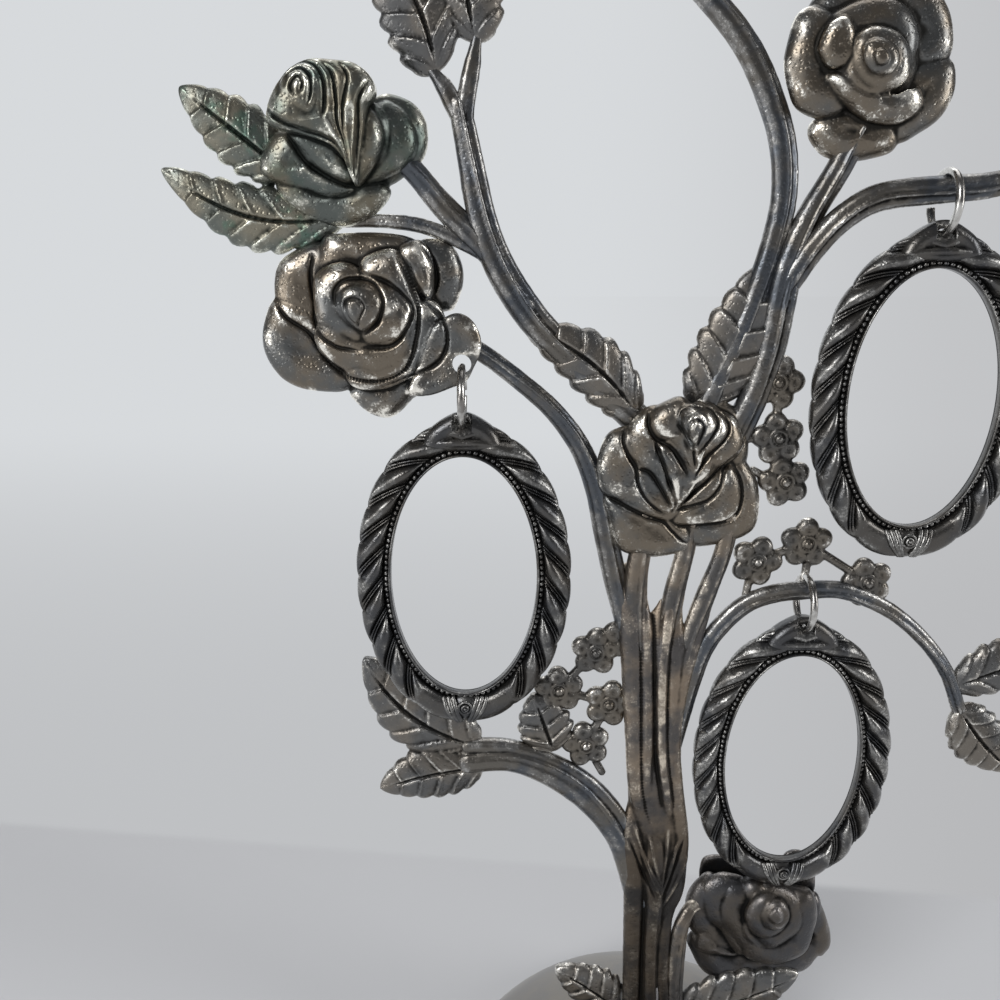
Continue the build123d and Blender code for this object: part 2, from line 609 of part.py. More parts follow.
hangings = {
    "left": hook_hole - Vector(0, 0, hook_hole_radius - ring_wire / 2 - hang_gap),
    "lower_right": ring_top_on("lower_right_arch", arch_hook_share),
    "upper_right": ring_top_on("far_right_branch", far_hook_share),
}
one_ring = jump_ring()
one_frame = frame()
for side, top in hangings.items():
    middle = top - Vector(0, 0, ring_radius)
    nodes[side + "_ring"] = Pos(middle.X, middle.Y, middle.Z) * one_ring
    bottom = middle - Vector(0, 0, ring_radius)
    opening = bottom - Vector(0, 0, lug_hole_level + lug_hole_radius - ring_wire / 2 - hang_gap)
    nodes[side + "_frame"] = Pos(opening.X, opening.Y, opening.Z) * one_frame
    print(side, "ring top", tuple(round(c, 3) for c in top), "ring bottom", tuple(round(c, 3) for c in bottom),
          "opening centre", tuple(round(c, 3) for c in opening))

os.makedirs("parts", exist_ok=True)
for name, solid in nodes.items():
    export_step(solid, os.path.join("parts", name + ".step"))
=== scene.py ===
import json
import math
import random
import bpy
import numpy as np
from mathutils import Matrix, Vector

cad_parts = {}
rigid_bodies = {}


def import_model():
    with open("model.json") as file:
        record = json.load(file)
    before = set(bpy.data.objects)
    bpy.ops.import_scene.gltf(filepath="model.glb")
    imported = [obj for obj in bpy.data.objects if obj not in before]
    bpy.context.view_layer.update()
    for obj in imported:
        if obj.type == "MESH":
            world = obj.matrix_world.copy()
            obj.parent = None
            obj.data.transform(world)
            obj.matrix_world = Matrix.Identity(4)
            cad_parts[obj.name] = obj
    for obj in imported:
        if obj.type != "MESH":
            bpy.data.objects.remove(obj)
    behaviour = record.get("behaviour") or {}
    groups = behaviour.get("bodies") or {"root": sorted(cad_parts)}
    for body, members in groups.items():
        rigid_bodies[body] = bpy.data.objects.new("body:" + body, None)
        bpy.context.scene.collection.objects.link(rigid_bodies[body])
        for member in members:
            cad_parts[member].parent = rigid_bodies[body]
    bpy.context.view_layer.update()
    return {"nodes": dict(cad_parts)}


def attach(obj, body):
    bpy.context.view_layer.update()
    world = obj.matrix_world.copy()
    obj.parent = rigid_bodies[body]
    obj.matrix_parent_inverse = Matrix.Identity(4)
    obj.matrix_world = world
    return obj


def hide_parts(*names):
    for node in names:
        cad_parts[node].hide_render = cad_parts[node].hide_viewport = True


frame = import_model()
mm = 0.001
print("frame loaded,", len(frame["nodes"]), "nodes")

# sizes shared with the solids, in millimetres
tree = {"height": 254.0, "halfSpan": 78.0, "relief": 10.0}


# camera

photoView = {"place": (-27.8, -136.8, 162.4), "pitch": 15.1, "focal": 900.0, "middle": 500.0, "sensor": 36.0}


def makeCamera():
    data = bpy.data.cameras.new("photoCamera")
    data.sensor_width = photoView["sensor"]
    data.lens = photoView["sensor"] * photoView["focal"] / (2 * photoView["middle"])
    data.clip_start = 0.01
    camera = bpy.data.objects.new("photoCamera", data)
    camera.location = Vector(photoView["place"]) * mm
    camera.rotation_euler = (math.radians(90 - photoView["pitch"]), 0, 0)
    bpy.context.scene.collection.objects.link(camera)
    bpy.context.scene.camera = camera


def fromPhoto(u, v, depth=0.0):  # place in mm at a known depth behind a picture point
    pitch = math.radians(photoView["pitch"])
    right = (u - photoView["middle"]) / photoView["focal"]
    down = (v - photoView["middle"]) / photoView["focal"]
    ray = Vector((right, math.cos(pitch) - down * math.sin(pitch), -math.sin(pitch) - down * math.cos(pitch)))
    start = Vector(photoView["place"])
    return start + ray * ((depth - start.y) / ray.y)


def spot(xShare, yShare, zShare):
    return Vector((xShare * tree["halfSpan"], yShare * tree["relief"], zShare * tree["height"]))


makeCamera()


# materials

def newGroup(name, inputs, outputs):
    group = bpy.data.node_groups.new(name, "ShaderNodeTree")
    for label, value in inputs.items():
        socket = group.interface.new_socket(name=label, in_out="INPUT", socket_type="NodeSocketFloat")
        socket.default_value = value
    for label in outputs:
        group.interface.new_socket(name=label, in_out="OUTPUT", socket_type="NodeSocketFloat")
    return group, group.nodes.new("NodeGroupInput"), group.nodes.new("NodeGroupOutput")


def addNode(nodeTree, kind, settings=None, **values):
    node = nodeTree.nodes.new(kind)
    for key, value in (settings or {}).items():
        setattr(node, key, value)
    for key, value in values.items():
        node.inputs[key.replace("_", " ")].default_value = value
    return node


def feed(nodeTree, socket, value):  # links another node's output, or sets a constant
    if isinstance(value, bpy.types.NodeSocket):
        nodeTree.links.new(value, socket)
    elif value is not None:
        socket.default_value = value


def remap(nodeTree, source, low, high, outLow=0.0, outHigh=1.0):
    node = addNode(nodeTree, "ShaderNodeMapRange", {"interpolation_type": "SMOOTHSTEP"})
    labels = ("Value", "From Min", "From Max", "To Min", "To Max")
    for label, value in zip(labels, (source, low, high, outLow, outHigh)):
        feed(nodeTree, node.inputs[label], value)
    return node.outputs["Result"]


def blendColours(nodeTree, amount, first, second):
    node = addNode(nodeTree, "ShaderNodeMix", {"data_type": "RGBA"})
    for index, value in ((0, amount), (6, first), (7, second)):
        feed(nodeTree, node.inputs[index], value)
    return node.outputs[2]


def arithmetic(nodeTree, way, first, second=None):
    node = addNode(nodeTree, "ShaderNodeMath", {"operation": way})
    for socket, value in zip(node.inputs, (first, second)):
        feed(nodeTree, socket, value)
    return node.outputs[0]


def product(nodeTree, first, second):
    return arithmetic(nodeTree, "MULTIPLY", first, second)


def total(nodeTree, first, second):
    return arithmetic(nodeTree, "ADD", first, second)


def ownPlace(nodeTree):
    return nodeTree.nodes.new("ShaderNodeTexCoord").outputs["Object"]


def placeAxes(nodeTree):
    apart = nodeTree.nodes.new("ShaderNodeSeparateXYZ")
    feed(nodeTree, apart.inputs[0], ownPlace(nodeTree))
    return apart.outputs


def noiseAt(nodeTree, where, scale, detail, roughness):
    node = addNode(nodeTree, "ShaderNodeTexNoise", Detail=detail, Roughness=roughness)
    feed(nodeTree, node.inputs["Scale"], scale)
    feed(nodeTree, node.inputs["Vector"], where)
    return node.outputs["Fac"]


def addBump(nodeTree, shader, height, strength, distance):
    bump = addNode(nodeTree, "ShaderNodeBump", Strength=strength, Distance=distance)
    feed(nodeTree, bump.inputs["Height"], height)
    feed(nodeTree, shader.inputs["Normal"], bump.outputs["Normal"])


# settings of the masks for patina, painted shade, wear and painted highlight
maskForm = {"reliefMost": 0.05, "swellMost": 0.6, "swellShare": 0.50, "smudgeScale": 420.0, "smudge": 0.22,
          "patchScale": 230.0, "patchRange": (0.42, 0.60, 0.12, 1.0), "speckFrom": 0.72,
          "speckSoftness": (0.10, 0.13), "cloudScale": 130.0}


def makeCavityGroup():  # dark patina and painted shade in the hollows and between parts, bright wear and painted highlights on the raised and bulging parts
    group, entry, result = newGroup("patinaShadeWearAndHighlightMasks", {
        "Hollow from": 0.02, "Hollow to": -0.16, "Wear from": 0.02, "Wear to": 0.22, "Speck scale": 2400.0,
        "Specks": 0.32}, ("Hollow", "WearAndHighlight", "Specks", "Cloud"))
    given = entry.outputs
    place = ownPlace(group)
    relief = addNode(group, "ShaderNodeAttribute", {"attribute_name": "relief"}).outputs["Fac"]
    broad = addNode(group, "ShaderNodeAttribute", {"attribute_name": "swell"}).outputs["Fac"]
    swell = product(group, arithmetic(group, "MINIMUM", broad, maskForm["swellMost"]), maskForm["swellShare"])
    both = total(group, arithmetic(group, "MINIMUM", relief, maskForm["reliefMost"]), swell)
    smudge = arithmetic(group, "SUBTRACT", noiseAt(group, place, maskForm["smudgeScale"], 4.0, 0.65), 0.5)
    shifted = total(group, both, product(group, smudge, maskForm["smudge"]))
    # patina in fine grooves and painted shade in deep pockets and crevices between parts, where the surface
    # lies below its smoothed form
    hollow = remap(group, shifted, given["Hollow from"], given["Hollow to"])
    patches = remap(group, noiseAt(group, place, maskForm["patchScale"], 2.0, 0.5), *maskForm["patchRange"])
    # wear and painted highlight, in patches, where the surface stands above its smoothed form
    wearAndHighlight = product(group, remap(group, shifted, given["Wear from"], given["Wear to"]), patches)
    # bright specks of wear and painted highlight where that mask is strong
    grain = noiseAt(group, place, given["Speck scale"], 4.0, 0.7)
    threshold = arithmetic(group, "SUBTRACT", maskForm["speckFrom"], product(group, wearAndHighlight, given["Specks"]))
    below, above = maskForm["speckSoftness"]
    start = arithmetic(group, "SUBTRACT", threshold, below)
    specks = remap(group, grain, start, total(group, threshold, above))
    cloud = noiseAt(group, place, maskForm["cloudScale"], 3.0, 0.55)
    for label, mask in (("Hollow", hollow), ("WearAndHighlight", wearAndHighlight), ("Specks", specks), ("Cloud", cloud)):
        feed(group, result.inputs[label], mask)
    return group


castSkin = {"pitScale": 1700.0, "pits": 0.6, "pitWidth": 0.45, "waveScale": 600.0, "waves": 0.4,
            "height": 0.00012}


def makeSkinGroup():  # height of the cast skin: fine pits and a soft unevenness
    group, _, result = newGroup("castSkin", {}, ("Height",))
    place = ownPlace(group)
    pits = addNode(group, "ShaderNodeTexVoronoi", {"feature": "SMOOTH_F1"}, Smoothness=0.6,
                   Scale=castSkin["pitScale"])
    feed(group, pits.inputs["Vector"], place)
    pitFloor = remap(group, pits.outputs["Distance"], 0.0, castSkin["pitWidth"])
    pitted = product(group, pitFloor, castSkin["pits"])
    waves = product(group, noiseAt(group, place, castSkin["waveScale"], 5.0, 0.62), castSkin["waves"])
    feed(group, result.inputs["Height"], total(group, pitted, waves))
    return group


cavityGroup = makeCavityGroup()
skinGroup = makeSkinGroup()


def startMaterial(name):
    material = bpy.data.materials.new(name)
    material.use_nodes = True
    return material, material.node_tree, material.node_tree.nodes["Principled BSDF"]


def pewter(name, settings):
    material, nodeTree, shader = startMaterial(name)
    tone = {key: (*settings[key], 1) for key in ("cool", "warm", "wornAndHighlight", "bright", "dark", "verdigris")}
    masks = addNode(nodeTree, "ShaderNodeGroup", {"node_tree": cavityGroup})
    for label in masks.inputs.keys():
        if label in settings:
            masks.inputs[label].default_value = settings[label]
    hollow, wearAndHighlight, specks, cloud = [masks.outputs[k] for k in ("Hollow", "WearAndHighlight", "Specks", "Cloud")]
    tinted = blendColours(nodeTree, remap(nodeTree, cloud, 0.40, 0.62), tone["cool"], tone["warm"])
    # wear and painted highlight: raised parts take the worn tone, and bright specks lie on top
    body = blendColours(nodeTree, remap(nodeTree, wearAndHighlight, 0.0, 1.0), tinted, tone["wornAndHighlight"])
    colour = blendColours(nodeTree, product(nodeTree, specks, settings["brightness"]), body, tone["bright"])
    if settings["greenAmount"]:
        start = settings["greenFrom"]
        patches = remap(nodeTree, noiseAt(nodeTree, ownPlace(nodeTree), 170.0, 4.0, 0.6), start, start + 0.12)
        dull = arithmetic(nodeTree, "SUBTRACT", 1.0, product(nodeTree, specks, 0.8))
        green = product(nodeTree, product(nodeTree, patches, dull), settings["greenAmount"])
        colour = blendColours(nodeTree, green, colour, tone["verdigris"])
    # patina and painted shade: hollows and crevices between parts turn dark
    colour = blendColours(nodeTree, product(nodeTree, hollow, settings["darkness"]), colour, tone["dark"])
    if "dimBelow" in settings:  # darker towards the foot
        dim = remap(nodeTree, placeAxes(nodeTree)["Z"], *settings["dimBelow"], 0.65, 0.0)
        colour = blendColours(nodeTree, dim, colour, tone["dark"])
    feed(nodeTree, shader.inputs["Base Color"], colour)
    rough = remap(nodeTree, specks, 0.0, 1.0, settings["roughDull"], settings["roughBright"])
    feed(nodeTree, shader.inputs["Roughness"], total(nodeTree, rough, product(nodeTree, hollow, 0.25)))
    shader.inputs["Metallic"].default_value = 0.92
    skin = addNode(nodeTree, "ShaderNodeGroup", {"node_tree": skinGroup})
    addBump(nodeTree, shader, skin.outputs["Height"], settings["bump"], castSkin["height"])
    return material


# the worn and bright tones are those of wear and painted highlight, the dark tone that of patina and painted
# shade
usualFinish = {"darkness": 0.95, "brightness": 0.5, "roughDull": 0.34, "roughBright": 0.25, "bump": 0.55,
               "dark": (0.009, 0.008, 0.007), "verdigris": (0.05, 0.095, 0.075), "greenAmount": 0.0}
finishes = {
    "rose": {"cool": (0.105, 0.107, 0.106), "warm": (0.150, 0.127, 0.100), "wornAndHighlight": (0.33, 0.31, 0.275),
             "bright": (0.82, 0.79, 0.72), "dark": (0.010, 0.0095, 0.0085), "brightness": 0.95,
             "roughDull": 0.31, "roughBright": 0.24, "Specks": 0.40},
    "greenRose": {"cool": (0.095, 0.105, 0.098), "warm": (0.145, 0.130, 0.098), "wornAndHighlight": (0.29, 0.29, 0.25),
                  "bright": (0.76, 0.75, 0.67), "dark": (0.005, 0.0065, 0.0055), "darkness": 0.96,
                  "brightness": 0.7, "roughDull": 0.35, "roughBright": 0.26, "Specks": 0.37,
                  "greenFrom": 0.52, "greenAmount": 0.26},
    "darkRose": {"cool": (0.060, 0.060, 0.063), "warm": (0.085, 0.074, 0.063), "wornAndHighlight": (0.14, 0.13, 0.125),
                 "bright": (0.42, 0.40, 0.38), "dark": (0.004, 0.004, 0.004), "darkness": 0.97,
                 "brightness": 0.4, "roughDull": 0.40, "roughBright": 0.32, "bump": 0.5, "Specks": 0.2},
    "limb": {"cool": (0.076, 0.083, 0.094), "warm": (0.118, 0.109, 0.097), "wornAndHighlight": (0.205, 0.20, 0.193),
             "bright": (0.72, 0.71, 0.68), "dark": (0.008, 0.0078, 0.0075), "roughBright": 0.28, "bump": 0.4,
             "Specks": 0.20},
    "trunk": {"cool": (0.085, 0.080, 0.078), "warm": (0.21, 0.168, 0.128), "wornAndHighlight": (0.33, 0.285, 0.235),
              "bright": (0.74, 0.66, 0.54), "darkness": 0.93, "brightness": 0.55, "roughDull": 0.42,
              "roughBright": 0.32, "bump": 0.6, "dimBelow": (0.058, 0.080)},
    "stem": {"cool": (0.085, 0.082, 0.080), "warm": (0.17, 0.142, 0.113), "wornAndHighlight": (0.28, 0.25, 0.215),
             "bright": (0.74, 0.68, 0.58), "darkness": 0.94, "roughDull": 0.38, "roughBright": 0.30,
             "bump": 0.5, "Specks": 0.22},
    "leaf": {"cool": (0.105, 0.105, 0.105), "warm": (0.155, 0.140, 0.122), "wornAndHighlight": (0.30, 0.287, 0.265),
             "bright": (0.78, 0.76, 0.71), "dark": (0.007, 0.0068, 0.0062), "darkness": 0.96,
             "brightness": 0.7, "roughDull": 0.36, "roughBright": 0.27, "bump": 0.6, "Specks": 0.24},
    "greenLeaf": {"cool": (0.125, 0.135, 0.122), "warm": (0.20, 0.185, 0.145), "wornAndHighlight": (0.36, 0.36, 0.31),
                  "bright": (0.76, 0.77, 0.68), "dark": (0.006, 0.009, 0.007), "brightness": 0.65,
                  "roughDull": 0.38, "roughBright": 0.28, "bump": 0.65, "verdigris": (0.05, 0.15, 0.11),
                  "greenFrom": 0.53, "greenAmount": 0.45},
    "blossom": {"cool": (0.085, 0.082, 0.078), "warm": (0.13, 0.115, 0.096), "wornAndHighlight": (0.26, 0.245, 0.225),
                "bright": (0.85, 0.83, 0.78), "dark": (0.009, 0.008, 0.0075), "brightness": 0.75,
                "Specks": 0.24},
    "frame": {"cool": (0.060, 0.061, 0.064), "warm": (0.085, 0.080, 0.074), "wornAndHighlight": (0.13, 0.128, 0.123),
              "bright": (0.55, 0.54, 0.52), "dark": (0.004, 0.004, 0.004), "darkness": 0.98,
              "brightness": 0.45, "roughDull": 0.32, "bump": 0.45, "Specks": 0.2},
    "dome": {"cool": (0.185, 0.176, 0.166), "warm": (0.205, 0.19, 0.17), "wornAndHighlight": (0.26, 0.245, 0.225),
             "bright": (0.4, 0.385, 0.36), "dark": (0.02, 0.019, 0.017), "darkness": 0.5, "brightness": 0.3,
             "roughDull": 0.42, "roughBright": 0.38, "bump": 0.25, "Hollow from": -0.16, "Hollow to": -0.5,
             "Wear from": 0.10, "Wear to": 0.6},
}
metals = {name: pewter(name + "Pewter", {**usualFinish, **settings}) for name, settings in finishes.items()}


def wireMaterial(name, base, scratch, rough):
    material, nodeTree, shader = startMaterial(name)
    place = ownPlace(nodeTree)
    lines = nodeTree.nodes.new("ShaderNodeMapping")
    lines.inputs["Scale"].default_value = (6.0, 1.0, 1.0)
    feed(nodeTree, lines.inputs["Vector"], place)
    drawn = noiseAt(nodeTree, lines.outputs["Vector"], 900.0, 4.0, 0.6)
    tarnish = remap(nodeTree, noiseAt(nodeTree, place, 380.0, 3.0, 0.55), 0.42, 0.66)
    feed(nodeTree, shader.inputs["Base Color"], blendColours(nodeTree, tarnish, base, scratch))
    feed(nodeTree, shader.inputs["Roughness"], remap(nodeTree, drawn, 0.3, 0.7, rough, rough + 0.12))
    shader.inputs["Metallic"].default_value = 1.0
    addBump(nodeTree, shader, drawn, 0.15, 0.00005)
    return material


def feltMaterial():
    material, nodeTree, shader = startMaterial("blackFelt")
    fibre = noiseAt(nodeTree, ownPlace(nodeTree), 2600.0, 6.0, 0.75)
    feed(nodeTree, shader.inputs["Base Color"], blendColours(
        nodeTree, remap(nodeTree, fibre, 0.3, 0.75), (0.006, 0.006, 0.007, 1), (0.03, 0.03, 0.03, 1)))
    shader.inputs["Roughness"].default_value = 0.95
    shader.inputs["Sheen Weight"].default_value = 0.3
    addBump(nodeTree, shader, fibre, 0.8, 0.0002)
    return material


nickel = wireMaterial("nickelWire", (0.50, 0.49, 0.47, 1), (0.20, 0.19, 0.18, 1), 0.2)
zinc = wireMaterial("zincSteel", (0.45, 0.45, 0.46, 1), (0.30, 0.30, 0.31, 1), 0.34)
felt = feltMaterial()
for node, material in (("base_felt", felt), ("fixing_screw", zinc), ("fixing_washer", zinc)):
    carried = frame["nodes"][node]
    carried.data.materials.clear()
    carried.data.materials.append(material)
print("materials made")


# shared mesh work

def smoothLine(points, count, closed=False):  # evenly shared places on a smooth line through the points
    given = np.array([tuple(p) for p in points], float)
    if closed:
        padded = np.vstack([given[-1], given, given[0], given[1]])
    else:
        padded = np.vstack([2 * given[0] - given[1], given, 2 * given[-1] - given[-2]])
    t = np.linspace(0, 1, 16, endpoint=False)[:, None]
    line = []
    for k in range(len(padded) - 3):
        a, b, c, d = padded[k:k + 4]
        line.append(0.5 * (2 * b + (c - a) * t + (2 * a - 5 * b + 4 * c - d) * t ** 2
                           + (3 * b - a - 3 * c + d) * t ** 3))
    line = np.vstack(line + [given[:1] if closed else given[-1:]])
    travelled = travelAlong(line)
    wanted = np.linspace(0, travelled[-1], count, endpoint=not closed)
    return np.stack([np.interp(wanted, travelled, line[:, axis]) for axis in range(given.shape[1])], 1)


def travelAlong(line):
    return np.concatenate([[0], np.cumsum(np.linalg.norm(np.diff(line, axis=0), axis=1))])


def circle(centre, radius, count):  # places round a point, in x and z
    return [(centre[0] + radius * math.cos(t), centre[1] + radius * math.sin(t))
            for t in np.linspace(0, 2 * math.pi, count, endpoint=False)]


def ringFaces(rings, around):
    faces = []
    for start in range(0, (rings - 1) * around, around):
        for k in range(around):
            a, b = start + k, start + (k + 1) % around
            faces.append((a, b, b + around, a + around))
    faces.append(tuple(reversed(range(around))))
    faces.append(tuple((rings - 1) * around + k for k in range(around)))
    return faces


class Solids:  # collects closed shells, in millimetres, that become one piece
    def __init__(self):
        self.places = []
        self.faces = []
        self.count = 0

    def add(self, places, faces):
        places = np.array(places, float)
        self.faces += [tuple(i + self.count for i in face) for face in faces]
        self.places.append(places)
        self.count += len(places)

    def moved(self, offset):
        copy = Solids()
        copy.add(np.vstack(self.places) + offset, self.faces)
        return copy

    def piece(self, name):
        mesh = bpy.data.meshes.new(name)
        mesh.from_pydata((np.vstack(self.places) * mm).tolist(), [], self.faces)
        mesh.update()
        made = bpy.data.objects.new(name, mesh)
        bpy.context.scene.collection.objects.link(made)
        return made


def addStrand(solids, line, radii, flat=1.0, sides=14):  # round-ended stem along a line
    line = np.array(line, float)
    radii = np.broadcast_to(np.array(radii, float), len(line))
    along = np.gradient(line, axis=0)
    along /= np.linalg.norm(along, axis=1)[:, None]
    across = np.cross(np.array([0.0, 1.0, 0.0]), along)
    across /= np.linalg.norm(across, axis=1)[:, None] + 1e-9
    outward = np.cross(along, across)
    order = [(line[k], radii[k], k) for k in range(len(line))]
    for share in (0.5, 0.85):  # rounded caps
        for end, sign in ((0, -1), (-1, 1)):
            cap = (line[end] + sign * along[end] * radii[end] * share * 0.8,
                   radii[end] * math.sqrt(max(1 - share ** 2, 0.05)), end)
            order = [cap] + order if sign < 0 else order + [cap]
    angles = 2 * np.pi * np.arange(sides) / sides
    places = []
    for centre, radius, k in order:
        places.append(centre + radius * (np.cos(angles)[:, None] * across[k]
                                         + flat * np.sin(angles)[:, None] * outward[k]))
    solids.add(np.vstack(places), ringFaces(len(order), sides))


petalSteps = [0.0, 0.08, 0.25, 0.5, 0.8, 1.2, 1.7, 2.4, 3.3, 4.5, 6.0]  # mm inwards from the petal's edge


def quarterRound(share):
    return np.sqrt(np.clip(1 - (1 - np.clip(share, 0, 1)) ** 2, 0, 1))


def addPetal(solids, outline, crest, wall=1.3, roll=1.3, rise=0.9, fall=0.35, dish=1.1, around=96):
    # closed cupped petal; outline in mm in x and z, crest is how far its lip stands towards the front
    edge = smoothLine(outline, around, closed=True)
    middle = edge.mean(axis=0)
    spokes = edge - middle
    reach = np.linalg.norm(spokes, axis=1)
    front, back = [], []
    for k, step in enumerate(petalSteps):
        gone = np.minimum(step, reach * 0.92 * (k / (len(petalSteps) - 1)) ** 0.8)
        flat = middle + spokes * ((reach - gone) / reach)[:, None]
        height = crest - rise * (1 - quarterRound(gone / roll))
        height = height - np.minimum(np.clip(gone - roll, 0, None) * fall, dish)
        front.append(np.column_stack([flat[:, 0], -height, flat[:, 1]]))
        back.append(np.column_stack([flat[:, 0], wall * quarterRound(gone / 0.5) - height, flat[:, 1]]))
    rings = front[::-1] + back[1:]
    solids.add(np.vstack(rings), ringFaces(len(rings), around))


def addBall(solids, centre, radius, stretch=(1, 1, 1), around=16, rings=9):
    places = []
    for r in range(1, rings):
        polar = math.pi * r / rings
        for k in range(around):
            turn = 2 * math.pi * k / around
            away = (math.sin(polar) * math.cos(turn), -math.cos(polar), math.sin(polar) * math.sin(turn))
            places.append([centre[axis] + radius * stretch[axis] * away[axis] for axis in range(3)])
    solids.add(places, ringFaces(rings - 1, around))


def deselectAll():
    for other in bpy.context.view_layer.objects:
        other.select_set(False)


def activate(piece):
    deselectAll()
    piece.select_set(True)
    bpy.context.view_layer.objects.active = piece


def settled():  # the form just added, with its place, turn and size made part of its mesh
    bpy.ops.object.transform_apply(location=True, rotation=True, scale=True)
    return bpy.context.object


def applyModifier(piece, kind, **settings):
    activate(piece)
    modifier = piece.modifiers.new(kind.lower(), kind)
    for key, value in settings.items():
        setattr(modifier, key, value)
    bpy.ops.object.modifier_apply(modifier=modifier.name)


def readVectors(rows, label):
    values = np.empty(len(rows) * 3)
    rows.foreach_get(label, values)
    return values.reshape(-1, 3)


def averaged(places, first, second, share, rounds, strength=0.6):
    soft = places.copy()
    count = len(places)
    for _ in range(rounds):
        around = np.stack([np.bincount(first, soft[second, axis], count)
                           + np.bincount(second, soft[first, axis], count) for axis in range(3)], 1)
        soft = soft * (1 - strength) + around / share[:, None] * strength
    return soft


backFrom = 0.3  # a normal's y above which a face counts as back
backLift = 0.02


def markRelief(piece, fine, broad):  # how far each place stands above the smoothed surface, in mm
    mesh = piece.data
    count = len(mesh.vertices)
    places = readVectors(mesh.vertices, "co")
    pairs = np.empty(len(mesh.edges) * 2, int)
    mesh.edges.foreach_get("vertices", pairs)
    first, second = pairs[::2], pairs[1::2]
    share = np.maximum(np.bincount(first, minlength=count) + np.bincount(second, minlength=count), 1)
    normals = readVectors(mesh.vertex_normals, "vector")
    soft = averaged(places, first, second, share, fine)
    broader = averaged(soft, first, second, share, broad - fine)
    for name, base in (("relief", soft), ("swell", broader)):
        lift = ((places - base) * normals).sum(axis=1) / mm
        lift = np.where(normals[:, 1] > backFrom, np.minimum(lift, backLift), lift)  # backs get no wear and no painted highlight
        attribute = mesh.attributes.new(name, "FLOAT", "POINT")
        attribute.data.foreach_set("value", lift.astype(np.float32))


castTexture = bpy.data.textures.new("castUnevenness", "CLOUDS")
castTexture.noise_scale = 0.0016
castTexture.noise_depth = 2

# shares of the widths and depths given with the lines, and how the lines fade at their ends
engraving = {"width": 0.82, "depth": 0.72, "places": 70, "fade": 12, "leastShare": 0.25}


def engrave(piece, lines, level):  # presses fine grooves into the front along lines of picture points
    mesh = piece.data
    places = readVectors(mesh.vertices, "co")
    front = np.clip(-readVectors(mesh.vertex_normals, "vector")[:, 1] * 3, 0, 1)
    pressed, lifted = np.zeros(len(places)), np.zeros(len(places))
    order = np.arange(engraving["places"])
    fade = np.clip(np.minimum(order, order[::-1]) / engraving["fade"] + engraving["leastShare"], 0, 1)
    for width, depth, points in lines:
        near = np.zeros(len(places))
        for (x, z), share in zip(smoothLine(flatOutline(points, level), engraving["places"]), fade):
            gap = (places[:, 0] / mm - x) ** 2 + (places[:, 2] / mm - z) ** 2
            near = np.maximum(near, np.exp(-gap / (width * engraving["width"]) ** 2) * share)
        if depth > 0:
            pressed = np.maximum(pressed, near * depth * engraving["depth"])
        else:
            lifted = np.maximum(lifted, -near * depth)
    places[:, 1] += (pressed - lifted) * front * mm
    mesh.vertices.foreach_set("co", places.ravel())
    mesh.update()


def flatOutline(points, level):  # picture points to x and z at a known depth
    return [(p.x, p.z) for p in (fromPhoto(u, v, level) for u, v in points)]


def finishPiece(piece, body, nodes, material):
    piece.data.materials.clear()
    piece.data.materials.append(material)
    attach(piece, body)
    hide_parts(*nodes)


def castPiece(name, solids, body, slotName, nodes, material, voxel=0.2, smooth=2, uneven=0.05, cutters=(),
              fine=8, broad=60, grooves=(), level=0.0):
    piece = solids.piece(name)
    applyModifier(piece, "REMESH", mode="VOXEL", voxel_size=voxel * mm, adaptivity=0.0)
    applyModifier(piece, "SMOOTH", factor=0.5, iterations=smooth)
    applyModifier(piece, "DISPLACE", texture=castTexture, strength=uneven * mm, mid_level=0.5,
                  texture_coords="LOCAL")
    for cutter in cutters:
        applyModifier(piece, "BOOLEAN", operation="DIFFERENCE", object=cutter, solver="EXACT")
        bpy.data.objects.remove(cutter)
    if grooves:
        engrave(piece, grooves, level)
    markRelief(piece, fine, broad)
    piece.data.shade_smooth()
    print(name, len(piece.data.polygons), "faces")
    finishPiece(piece, body, nodes, material)


# roses
# petals from back to front: crest in mm before the rose's back plane, then the outline in picture points

